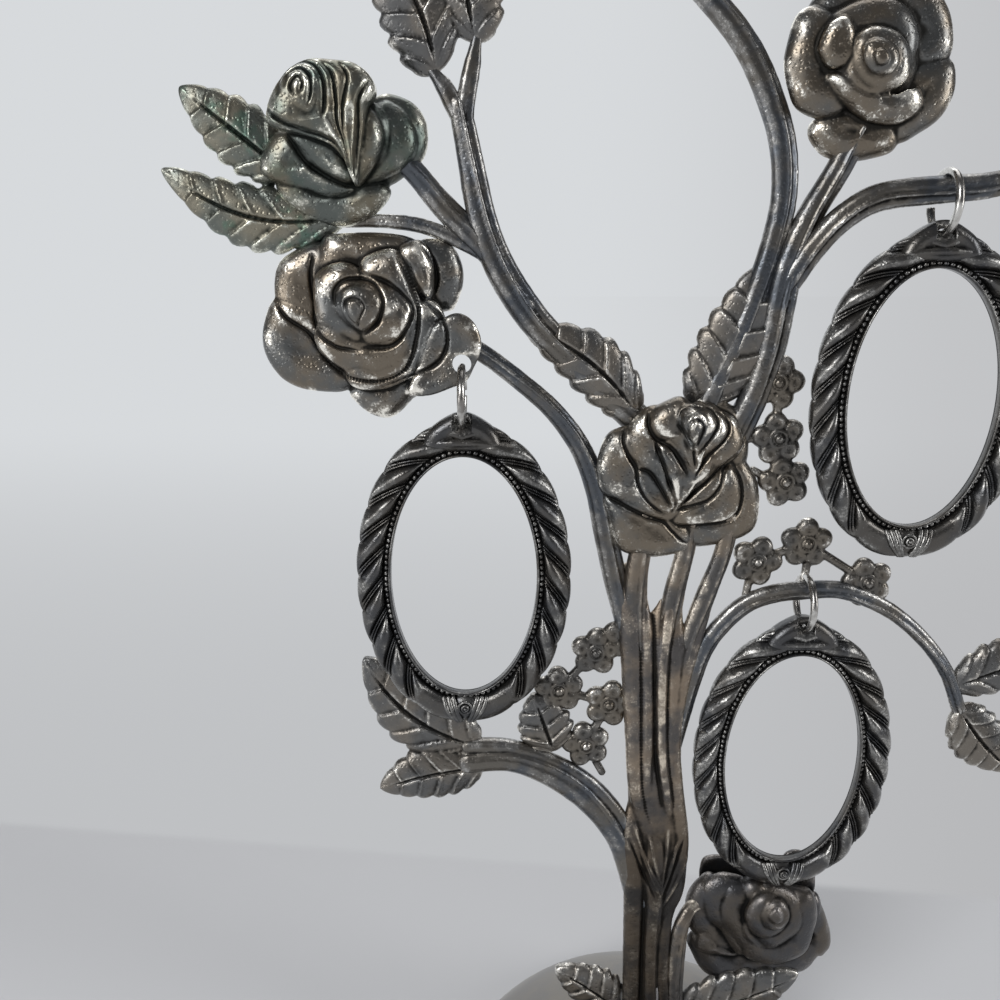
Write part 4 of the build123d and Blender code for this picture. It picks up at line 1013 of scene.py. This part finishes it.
leafForm = {"thick": 1.1, "back": 0.4, "dome": 1.1, "pillow": 0.42, "slant": 0.36, "steps": 84, "half": 13,
            "firstTooth": 0.12, "notch": 0.26, "vein": (0.42, 0.93, 0.055), "ridge": (0.25, 0.085, 0.04),
            "groove": (0.5, 0.055)}
leafFinish = {"left_tip_leaves": "greenLeaf"}
leaves = {
    "fork_leaves": [((-0.469, 0.737), (-0.590, 0.803), 12.6, 5, 0.10), ((-0.400, 0.752), (-0.377, 0.836),
        12.6, 5, -0.10)],
    "left_tip_leaves": [((-0.640, 0.661), (-0.979, 0.687), 10.6, 6, -0.12), ((-0.740, 0.684),
        (-0.933, 0.730), 10.6, 5, 0.0)],
    "centre_left_leaf": [((-0.082, 0.546), (-0.310, 0.601), 10.6, 5, 0.08)],
    "centre_right_leaf": [((0.028, 0.551), (0.133, 0.634), 12.6, 5, 0.06)],
    "lower_left_leaves": [((-0.405, 0.324), (-0.646, 0.387), 13.6, 5, -0.10), ((-0.395, 0.309),
        (-0.621, 0.292), 11.8, 5, 0.05)],
    "branch_leaf": [((-0.238, 0.320), (-0.285, 0.362), 10.6, 4, 0.0)],
    "far_right_leaves": [((0.850, 0.720), (0.972, 0.775), 10.6, 5, 0.05), ((0.862, 0.689), (0.996, 0.651),
        10.6, 5, -0.05)],
    "lower_right_leaves": [((0.628, 0.352), (0.769, 0.305), 10.6, 5, 0.05), ((0.612, 0.368), (0.833, 0.392),
        10.6, 5, -0.05)],
    "crown_leaves": [((-0.128, 0.880), (-0.020, 0.965), 12.6, 5, 0.06), ((-0.221, 0.886), (-0.290, 1.000),
        12.6, 5, -0.06)],
    "base_leaves": [((0.065, 0.108), (0.345, 0.140), 12.6, 5, 0.04), ((-0.065, 0.108), (-0.225, 0.145),
        10.6, 5, 0.04)],
}


def leafFaces(rows, wide):  # front and rear sheets, then the walls that join them
    faces = []
    rear = rows * wide
    for r in range(rows - 1):
        for c in range(wide - 1):
            a = r * wide + c
            b = a + rear
            faces += [(a, a + wide, a + wide + 1, a + 1), (b, b + 1, b + wide + 1, b + wide)]
    for c in range(wide - 1):
        a, d = c, (rows - 1) * wide + c
        faces += [(a, a + 1, a + rear + 1, a + rear), (d + 1, d, d + rear, d + rear + 1)]
    for r in range(rows - 1):
        a, d = r * wide, r * wide + wide - 1
        faces += [(a, a + rear, a + rear + wide, a + wide), (d + rear, d, d + wide, d + rear + wide)]
    return faces


def addLeaf(solids, base, tip, width, teeth, bend):
    form = leafForm
    start = np.array([base.x, 0.0, base.z])
    end = np.array([tip.x, 0.0, tip.z])
    length = np.linalg.norm(end - start)
    along = (end - start) / length
    across = np.cross(np.array([0.0, 1.0, 0.0]), along)
    columns = np.linspace(-1, 1, 2 * form["half"] + 1)
    veinHeight, veinPlace, veinWidth = form["vein"]
    ridgeHeight, ridgePlace, ridgeWidth = form["ridge"]
    grooveDepth, grooveWidth = form["groove"]
    front, rear = [], []
    for k in range(form["steps"] + 1):
        t = k / form["steps"]
        shape = max(math.sin(math.pi * t ** 0.78), 0.0) ** 0.72 * 0.97 + 0.035
        middle = start + along * (length * t) + across * (length * bend * math.sin(math.pi * t))
        for w in columns:
            phase = teeth * (t - form["slant"] * abs(w) * (1 - t)) + form["firstTooth"]
            part = phase - math.floor(phase)
            tooth = (part ** 0.45) * (1 - part ** 5)
            edge = 1 - form["notch"] * abs(w) ** 3 * (1 - tooth) * min(1, 5 * t, 5 * (1 - t))
            fade = min(1.0, abs(w) / 0.14) * (1 - abs(w) ** 8) * min(1, 8 * t, 6 * (1 - t))
            lobes = form["pillow"] * (part ** 0.7) * min(1.0, (1 - part) * 9) * fade
            lobes += veinHeight * math.exp(-((part - veinPlace) / veinWidth) ** 2) * fade * (1 - 0.5 * abs(w))
            ridge = ridgeHeight * math.exp(-((abs(w) - ridgePlace) / ridgeWidth) ** 2) * min(1, 6 * t)
            groove = grooveDepth * math.exp(-(w / grooveWidth) ** 2) * min(1, 6 * t, 4 * (1 - t))
            dome = form["dome"] * (1 - w * w) * shape
            rim = form["thick"] * 0.5 * math.sqrt(max(1 - abs(w) ** 8, 0.0))
            x, _, z = middle + across * (width / 2 * shape * edge * w)
            front.append((x, form["back"] - (rim + dome + lobes + ridge - groove), z))
            rear.append((x, form["back"] - (dome - rim), z))
    solids.add(front + rear, leafFaces(form["steps"] + 1, len(columns)))


for name, places in leaves.items():
    solids = Solids()
    for base, tip, width, teeth, bend in places:
        addLeaf(solids, spot(base[0], 0, base[1]), spot(tip[0], 0, tip[1]), width, teeth, bend)
    castPiece(name.replace("_", "") + "Veined", solids, "stand", "leaf_pewter", [name],
              metals[leafFinish.get(name, "leaf")])
print("leaves made")


# blossoms
# each group: its place as shares of the tree, flower places in flower radii, which flowers a link joins,
# and picture points of the short stalks that hold it

blossomForm = {"radius": 4.4, "petal": 1.85, "reach": 2.55, "thick": 1.6, "bead": 0.765, "discRadius": 1.5,
               "link": 0.75, "stalk": 0.7, "turn": 20}
blossomGroups = {
    "centre_blossoms": {"place": (0.194, 0.08, 0.533), "flowers": [(-0.16, 1.96), (0.0, 0.0), (0.37, -1.56)],
                        "links": [(0, 1), (1, 2)], "stalks": [
                            [(742, 440), (760, 437), (776, 438)], [(757, 372), (766, 377), (775, 382)],
                            [(752, 470), (768, 478), (784, 481)]]},
    "arch_blossoms": {"place": (0.272, 0.12, 0.4655), "flowers": [(-1.77, -0.69), (0.0, 0.0), (2.36, -1.50)],
                      "links": [(0, 1), (1, 2)], "stalks": [
                          [(745, 598), (749, 580), (756, 562)], [(800, 590), (806, 568), (806, 545)],
                          [(872, 592), (870, 584), (868, 576)]]},
    "lower_left_blossoms": {"place": (-0.154, 0.08, 0.392), "flowers": [
        (1.22, 0.69), (0.0, 0.0), (-1.36, -1.56), (0.55, -2.14), (-0.27, -3.87)],
        "links": [(1, 2), (2, 3), (3, 4)], "stalks": [
            [(626, 640), (614, 645), (600, 648)], [(628, 700), (615, 702), (602, 703)],
            [(602, 772), (594, 758), (588, 744)]]},
}


def addBlossom(solids, centre, turn):
    form = blossomForm
    crest = form["thick"] - centre.y
    for k in range(5):
        angle = math.radians(90 + 72 * k + turn)
        c, s = math.cos(angle), math.sin(angle)
        middle = (centre.x + form["reach"] * c, centre.z + form["reach"] * s)
        outline = []
        for t in np.linspace(0, 2 * math.pi, 16, endpoint=False):
            x = form["petal"] * math.cos(t) * 0.94
            z = form["petal"] * math.sin(t) * (1.0 - 0.10 * math.cos(t))
            outline.append((middle[0] + x * c - z * s, middle[1] + x * s + z * c))
        addPetal(solids, outline, crest, wall=1.3, roll=1.15, rise=1.0, fall=0.35, dish=0.18, around=48)
    disc = circle((centre.x, centre.z), form["discRadius"], 12)
    addPetal(solids, disc, crest + 0.15, wall=1.3, roll=0.3, rise=0.3, fall=1.2, dish=0.35, around=32)
    addBall(solids, (centre.x, -crest - 0.05, centre.z), form["bead"], (1, 0.8, 1))


for name, group in blossomGroups.items():
    solids = Solids()
    rng = random.Random(name)
    place = group["place"]
    middles = [spot(*place) + Vector((x, 0, z)) * blossomForm["radius"] for x, z in group["flowers"]]
    for centre in middles:
        addBlossom(solids, centre, rng.uniform(-blossomForm["turn"], blossomForm["turn"]))
    for a, b in group["links"]:
        line = np.linspace(np.array(middles[a]) - (0, 0.6, 0), np.array(middles[b]) - (0, 0.6, 0), 8)
        addStrand(solids, line, blossomForm["link"], sides=10)
    for stalk in group["stalks"]:
        line = smoothLine([fromPhoto(u, v, place[1] * tree["relief"] - 0.4) for u, v in stalk], 10)
        addStrand(solids, line, blossomForm["stalk"], sides=10)
    castPiece(name.replace("_", "") + "Petals", solids, "stand", "leaf_pewter", [name], metals["blossom"],
              fine=7, broad=50)
print("blossoms made")


# hanging frames

frameForm = {"innerWidth": 22.6, "innerHeight": 38.6, "band": 5.4, "lobes": 10, "slant": 0.95, "beads": 112,
             "around": 960, "beadRadius": 0.42, "beadPlace": 0.74, "lugLevel": 23.65, "innerStrip": 1.25,
             "lobeRise": 1.6, "lobeWidth": 0.76, "ribRise": 0.85, "plainBelow": 0.115, "plainRise": 1.2,
             "bulge": 0.42, "holeRadius": 1.2}
# places across the band, and for its back with the height there, in mm
frontSteps = [0.0, 0.10, 0.22, 0.36, 0.46, 0.56, 0.80, 1.05, 1.2, 1.27, *np.linspace(1.40, 5.25, 24), 5.4]
backSteps = {5.35: -0.4, 4.9: -1.3, 3.4: -1.4, 1.8: -1.4, 1.7: -0.5, 0.3: -0.5, 0.0: -0.2}
hangings = {
    "left": {"centre": (-33.384, -4.6, 114.294), "ringTop": (-33.384, -4.6, 146.844)},
    "lower_right": {"centre": (21.606, -0.4, 80.157), "ringTop": (21.606, -0.4, 112.707)},
    "upper_right": {"centre": (35.412, -2.4, 141.542), "ringTop": (35.412, -2.4, 174.092)},
}


def ovalPoint(turn, outward):  # place on the oval opening's edge, moved outwards across the band
    a, b = frameForm["innerWidth"] / 2, frameForm["innerHeight"] / 2
    x, z = a * math.sin(turn), b * math.cos(turn)
    nx, nz = math.sin(turn) / a, math.cos(turn) / b
    size = math.hypot(nx, nz)
    return x + outward * nx / size, z + outward * nz / size


def evenTurns(count):  # turns that share the oval's edge into equal steps, from the top
    fine = np.linspace(0, 2 * math.pi, 4001)
    travelled = travelAlong(np.array([ovalPoint(t, 0) for t in fine]))
    return np.interp(np.linspace(0, travelled[-1], count, endpoint=False), travelled, fine)


def bandHeight(across, rise):  # front height in mm of the band at a place across it and a share up its side
    form = frameForm
    if across < form["innerStrip"]:
        return 0.45 + 0.9375 * math.exp(-((across - 0.22) / 0.26) ** 4)
    share = (across - form["innerStrip"]) / (form["band"] - form["innerStrip"])
    phase = form["lobes"] * rise + form["slant"] * share
    gone = abs(2 * (phase - math.floor(phase)) - 1)  # 0 in the middle of a lobe, 1 in the groove
    envelope = math.sin(math.pi * min(max(share, 0.0), 1.0) ** 0.75) ** 0.5
    roped = min(1.0, max(0.0, (rise - form["plainBelow"]) / 0.02))  # plain crescents beside the knot
    lobe = form["lobeRise"] * math.sqrt(max(1 - (gone / form["lobeWidth"]) ** 2, 0.0))
    ribs = form["ribRise"] * math.exp(-((gone - 0.88) / 0.055) ** 2)
    return 0.35 + envelope * (0.2 + roped * max(lobe, ribs) + (1 - roped) * form["plainRise"])


def frameSolids():
    solids = Solids()
    turns = evenTurns(frameForm["around"])
    count, around = len(turns), len(frontSteps) + len(backSteps)
    places = []
    for index, turn in enumerate(turns):
        rise = abs(1 - 2 * index / count)
        swing = frameForm["lobes"] * rise + 0.5 + frameForm["slant"]
        bulge = frameForm["bulge"] * (abs(math.cos(math.pi * swing)) ** 0.5 - 1)
        heights = [(across, bandHeight(across, rise)) for across in frontSteps] + list(backSteps.items())
        for across, height in heights:
            x, z = ovalPoint(turn, across + bulge * max(0.0, (across - 3.0) / 2.4))
            places.append((x, -height, z))
    faces = []
    for r in range(count):
        near, far = r * around, (r + 1) % count * around
        for c in range(around):
            following = (c + 1) % around
            faces.append((near + c, near + following, far + following, far + c))
    solids.add(places, faces)
    for turn in evenTurns(frameForm["beads"]):
        x, z = ovalPoint(turn, frameForm["beadPlace"])
        addBall(solids, (x, -0.55, z), frameForm["beadRadius"], around=8, rings=6)
    addKnot(solids)
    return solids


def addKnot(solids):  # small rosette at the foot with three wrapped strands on each side
    low = -frameForm["innerHeight"] / 2 - frameForm["band"] * 0.5
    for side in (-1, 1):
        for reach, size in ((2.9, 0.36), (2.15, 0.40), (1.4, 0.40)):
            line = [(side * (reach + 0.55), -1.2, low + 2.0), (side * (reach + 0.15), -1.85, low + 0.8),
                    (side * reach * 0.85, -1.95, low - 0.5), (side * reach * 0.45, -1.5, low - 1.9)]
            addStrand(solids, smoothLine(line, 14), size, flat=0.9, sides=8)
    for radius, crest in ((1.25, 2.15), (0.72, 2.4)):
        addPetal(solids, circle((0, low + 0.45), radius, 12), crest, wall=0.8, roll=0.28, rise=0.3, fall=1.0,
                 dish=0.35, around=28)
    addBall(solids, (0, -2.2, low + 0.45), 0.32, around=10, rings=7)
    addBall(solids, (0, -0.1, low - 0.1), 3.1, (1, 0.5, 0.8), around=24, rings=12)


# right half of the hood's outline
hoodArch = [(0.9, 2.3), (2.5, 1.6), (3.9, 0.7), (5.0, -0.3), (5.7, -1.5), (5.9, -3.0), (3.0, -3.5)]


def lugSolids():  # arched hood over the hanging hole, on a flat plate
    solids = Solids()
    level = frameForm["lugLevel"]
    left = [(-x, z) for x, z in reversed(hoodArch[:-1])]
    arch = left + hoodArch + [(0, -3.6), (-3.0, -3.5)]
    outline = [(x, z + level) for x, z in arch]
    addPetal(solids, outline, 2.0, wall=2.9, roll=1.9, rise=1.5, fall=0.16, dish=0.3)
    addStrand(solids, [(-4.6, -1.5, level - 2.3), (-1.6, -1.9, level - 2.0), (1.6, -1.9, level - 2.0),
                       (4.6, -1.5, level - 2.3)], [0.4, 0.55, 0.55, 0.4], sides=10)
    return solids


def darkenOpening(piece, centre):  # the opening's wall stays dark
    a, b = frameForm["innerWidth"] / 2, frameForm["innerHeight"] / 2
    relief = piece.data.attributes["relief"].data
    for index, vertex in enumerate(piece.data.vertices):
        away = vertex.co / mm - Vector(centre)
        if math.hypot(away.x / a, away.z / b) < 1.012:
            relief[index].value = -0.2


frameBand = frameSolids()
lugHood = lugSolids()
for side, hanging in hangings.items():
    centre = np.array(hanging["centre"])
    piece = frameBand.moved(centre).piece(side.replace("_", "") + "RopeFrame")
    activate(piece)
    bpy.ops.object.mode_set(mode="EDIT")
    bpy.ops.mesh.select_all(action="SELECT")
    bpy.ops.mesh.normals_make_consistent(inside=False)
    bpy.ops.object.mode_set(mode="OBJECT")
    markRelief(piece, 8, 60)
    darkenOpening(piece, centre)
    piece.data.shade_smooth()
    finishPiece(piece, side + "_frame", [side + "_frame"], metals["frame"])
    hole = holeCutter(centre + (0, 0, frameForm["lugLevel"]), frameForm["holeRadius"])
    deselectAll()
    middle = Vector(centre + (0, -2.6, frameForm["lugLevel"] + 0.7))
    bpy.ops.mesh.primitive_cube_add(size=1, location=middle * mm, scale=(2.9 * mm, 3.7 * mm, 4.2 * mm))
    pocket = settled()
    castPiece(side.replace("_", "") + "Hood", lugHood.moved(centre), side + "_frame", "frame_pewter",
              [side + "_frame"], metals["frame"], voxel=0.16, uneven=0.04, cutters=[pocket, hole])
print("frames made")


# jump rings

ringForm = {"radius": 4.3, "wire": 1.2, "split": 8.0}
for side, hanging in hangings.items():
    centre = Vector(hanging["ringTop"]) - Vector((0, 0, ringForm["radius"]))
    deselectAll()
    bpy.ops.mesh.primitive_torus_add(major_segments=90, minor_segments=18, location=centre * mm,
                                     major_radius=ringForm["radius"] * mm,
                                     minor_radius=ringForm["wire"] / 2 * mm, rotation=(0, math.pi / 2, 0))
    ring = settled()
    ring.name = side.replace("_", "") + "WireRing"
    for vertex in ring.data.vertices:
        away = vertex.co / mm - centre
        vertex.select = away.y > 0 and abs(math.degrees(math.atan2(away.z, away.y))) < ringForm["split"] / 2
    for part in (*ring.data.edges, *ring.data.polygons):
        part.select = False
    bpy.ops.object.mode_set(mode="EDIT")
    bpy.ops.mesh.select_mode(type="VERT")
    bpy.ops.mesh.delete(type="VERT")
    bpy.ops.mesh.select_all(action="SELECT")
    bpy.ops.mesh.fill_holes(sides=0)
    bpy.ops.mesh.normals_make_consistent(inside=False)
    bpy.ops.object.mode_set(mode="OBJECT")
    ring.data.shade_smooth()
    finishPiece(ring, side + "_ring", [side + "_ring"], nickel)
print("rings made")


# base

domeForm = {"outer": [(38.0, 1.2), (38.0, 3.35), (36.1, 7.4), (31.2, 12.6), (22.8, 18.0), (13.7, 21.6),
                      (6.0, 22.7), (2.3, 22.9)],
            "inner": [(2.3, 20.4), (6.0, 20.4), (28.3, 12.2), (35.4, 1.2)], "widest": 37.99, "steps": 128}
line = smoothLine(domeForm["outer"], 60)
profile = [(min(float(r), domeForm["widest"]), float(z)) for r, z in line] + domeForm["inner"]
edges = [(k, (k + 1) % len(profile)) for k in range(len(profile))]
domeMesh = bpy.data.meshes.new("domeShell")
domeMesh.from_pydata([(r * mm, 0, z * mm) for r, z in profile], edges, [])
dome = bpy.data.objects.new("domeShell", domeMesh)
bpy.context.scene.collection.objects.link(dome)
activate(dome)
bpy.ops.object.mode_set(mode="EDIT")
bpy.ops.mesh.select_all(action="SELECT")
bpy.ops.mesh.spin(steps=domeForm["steps"], angle=2 * math.pi, center=(0, 0, 0), axis=(0, 0, 1))
bpy.ops.mesh.select_all(action="SELECT")
bpy.ops.mesh.remove_doubles(threshold=0.00001)
bpy.ops.mesh.normals_make_consistent(inside=False)
bpy.ops.object.mode_set(mode="OBJECT")
markRelief(dome, 8, 40)
bpy.ops.object.shade_smooth_by_angle(angle=math.radians(40))
finishPiece(dome, "stand", ["base_dome"], metals["dome"])
print("base made")


# floor, backdrop and light
# "edge" is how far behind the tree the table ends and "faded" where the lit floor with its shadow gives way
# to glowing paper with painted shade, both in metres

# "floor" is the lit floor's colour; the other tones are glows with painted shade, darker near the tree and
# towards the right
stageForm = {"floor": (0.555, 0.56, 0.575, 1), "near": (0.52, 0.53, 0.545, 1), "far": (0.68, 0.70, 0.72, 1),
             "right": (0.45, 0.45, 0.46, 1), "rightShadeShare": 0.6, "edge": 0.0755, "softness": 0.002,
             "slant": 0.118, "faded": (0.22, 0.60), "reflectionGlow": 0.68, "size": 8.0}


def addStage(name, location, rotation, isFloor):
    deselectAll()
    bpy.ops.mesh.primitive_plane_add(size=stageForm["size"], location=location, rotation=rotation)
    plane = settled()
    plane.name = name
    material, nodeTree, shader = startMaterial(name + "Paint")
    axes = placeAxes(nodeTree)
    shader.inputs["Base Color"].default_value = stageForm["floor"]
    shader.inputs["Roughness"].default_value = 0.9
    shader.inputs["Specular IOR Level"].default_value = 0.1
    path = nodeTree.nodes.new("ShaderNodeLightPath").outputs
    shown, tone = path["Is Camera Ray"], stageForm["far"]
    if isFloor:  # the floor near the tree is lit and keeps its shadow; beyond the table's edge it is glowing paper, with painted shade darker near the tree and towards the right
        forward = total(nodeTree, arithmetic(nodeTree, "MAXIMUM", axes["Y"], 0.0), 0.14)
        aside = remap(nodeTree, arithmetic(nodeTree, "DIVIDE", axes["X"], forward), 0.0, 0.55)
        tone = blendColours(nodeTree, remap(nodeTree, axes["Y"], 0.05, 0.75), stageForm["near"], tone)
        slanted = total(nodeTree, axes["Y"], product(nodeTree, axes["X"], stageForm["slant"]))
        beyond = remap(nodeTree, slanted, stageForm["edge"] - stageForm["softness"],
                       stageForm["edge"] + stageForm["softness"])
        squares = [product(nodeTree, axes[k], axes[k]) for k in ("X", "Y")]
        away = remap(nodeTree, arithmetic(nodeTree, "SQRT", total(nodeTree, *squares)), *stageForm["faded"])
        shown = product(nodeTree, shown, arithmetic(nodeTree, "MAXIMUM", beyond, away))
    else:
        # painted shade: the backdrop's glow darkens towards the right
        aside = remap(nodeTree, axes["X"], 0.2, 2.2)
    glow = nodeTree.nodes.new("ShaderNodeEmission")
    # painted shade: the glow turns to the darker right tone
    shaded = product(nodeTree, aside, stageForm["rightShadeShare"])
    feed(nodeTree, glow.inputs["Color"], blendColours(nodeTree, shaded, tone, stageForm["right"]))
    # painted reflection: seen in reflections, the floor and backdrop glow everywhere and brighter than to the
    # camera, throwing broad highlights onto the metal
    reflectionGlow = product(nodeTree, path["Is Glossy Ray"], stageForm["reflectionGlow"])
    feed(nodeTree, glow.inputs["Strength"], total(nodeTree, 1.0, reflectionGlow))
    mixShaders(nodeTree, arithmetic(nodeTree, "MAXIMUM", shown, path["Is Glossy Ray"]), shader, glow,
               nodeTree.nodes["Material Output"])
    plane.data.materials.append(material)


def mixShaders(nodeTree, amount, first, second, output):
    mix = nodeTree.nodes.new("ShaderNodeMixShader")
    for index, value in enumerate((amount, first.outputs[0], second.outputs[0])):
        feed(nodeTree, mix.inputs[index], value)
    feed(nodeTree, output.inputs["Surface"], mix.outputs[0])


addStage("paleFloor", (0, 0, 0), (0, 0, 0), True)
addStage("paleBackdrop", (0, 3.8, 3.9), (math.pi / 2, 0, 0), False)

lamps = {  # place and target in metres, size and power
    "keyLamp": ((-0.55, -0.75, 0.60), (0, 0, 0.13), (0.42, 0.42), 7.0),
    "sideLamp": ((0.75, -0.30, 0.35), (0, 0, 0.13), (0.22, 0.5), 3.0),
    "windowLamp": ((-0.80, -0.42, 0.10), (0, 0, 0.13), (0.5, 0.16), 1.6),
    "topLamp": ((0.1, 0.3, 1.1), (0, 0, 0.1), (0.9, 0.7), 5.0),
}
for name, (place, target, size, power) in lamps.items():
    data = bpy.data.lights.new(name, "AREA")
    data.shape = "RECTANGLE"
    data.size, data.size_y = size
    data.energy = power
    lamp = bpy.data.objects.new(name, data)
    lamp.location = place
    lamp.rotation_euler = (Vector(target) - Vector(place)).to_track_quat("-Z", "Y").to_euler()
    bpy.context.scene.collection.objects.link(lamp)

world = bpy.data.worlds.new("studioAir")
world.use_nodes = True
bpy.context.scene.world = world
air = world.node_tree
litAir = air.nodes["Background"]
litAir.inputs["Color"].default_value = (0.42, 0.43, 0.45, 1)
litAir.inputs["Strength"].default_value = 0.42
paleAir = addNode(air, "ShaderNodeBackground", Color=stageForm["far"])
mixShaders(air, air.nodes.new("ShaderNodeLightPath").outputs["Is Camera Ray"], litAir, paleAir,
           air.nodes["World Output"])

bpy.context.scene.view_settings.view_transform = "Standard"
print("stage and light made")
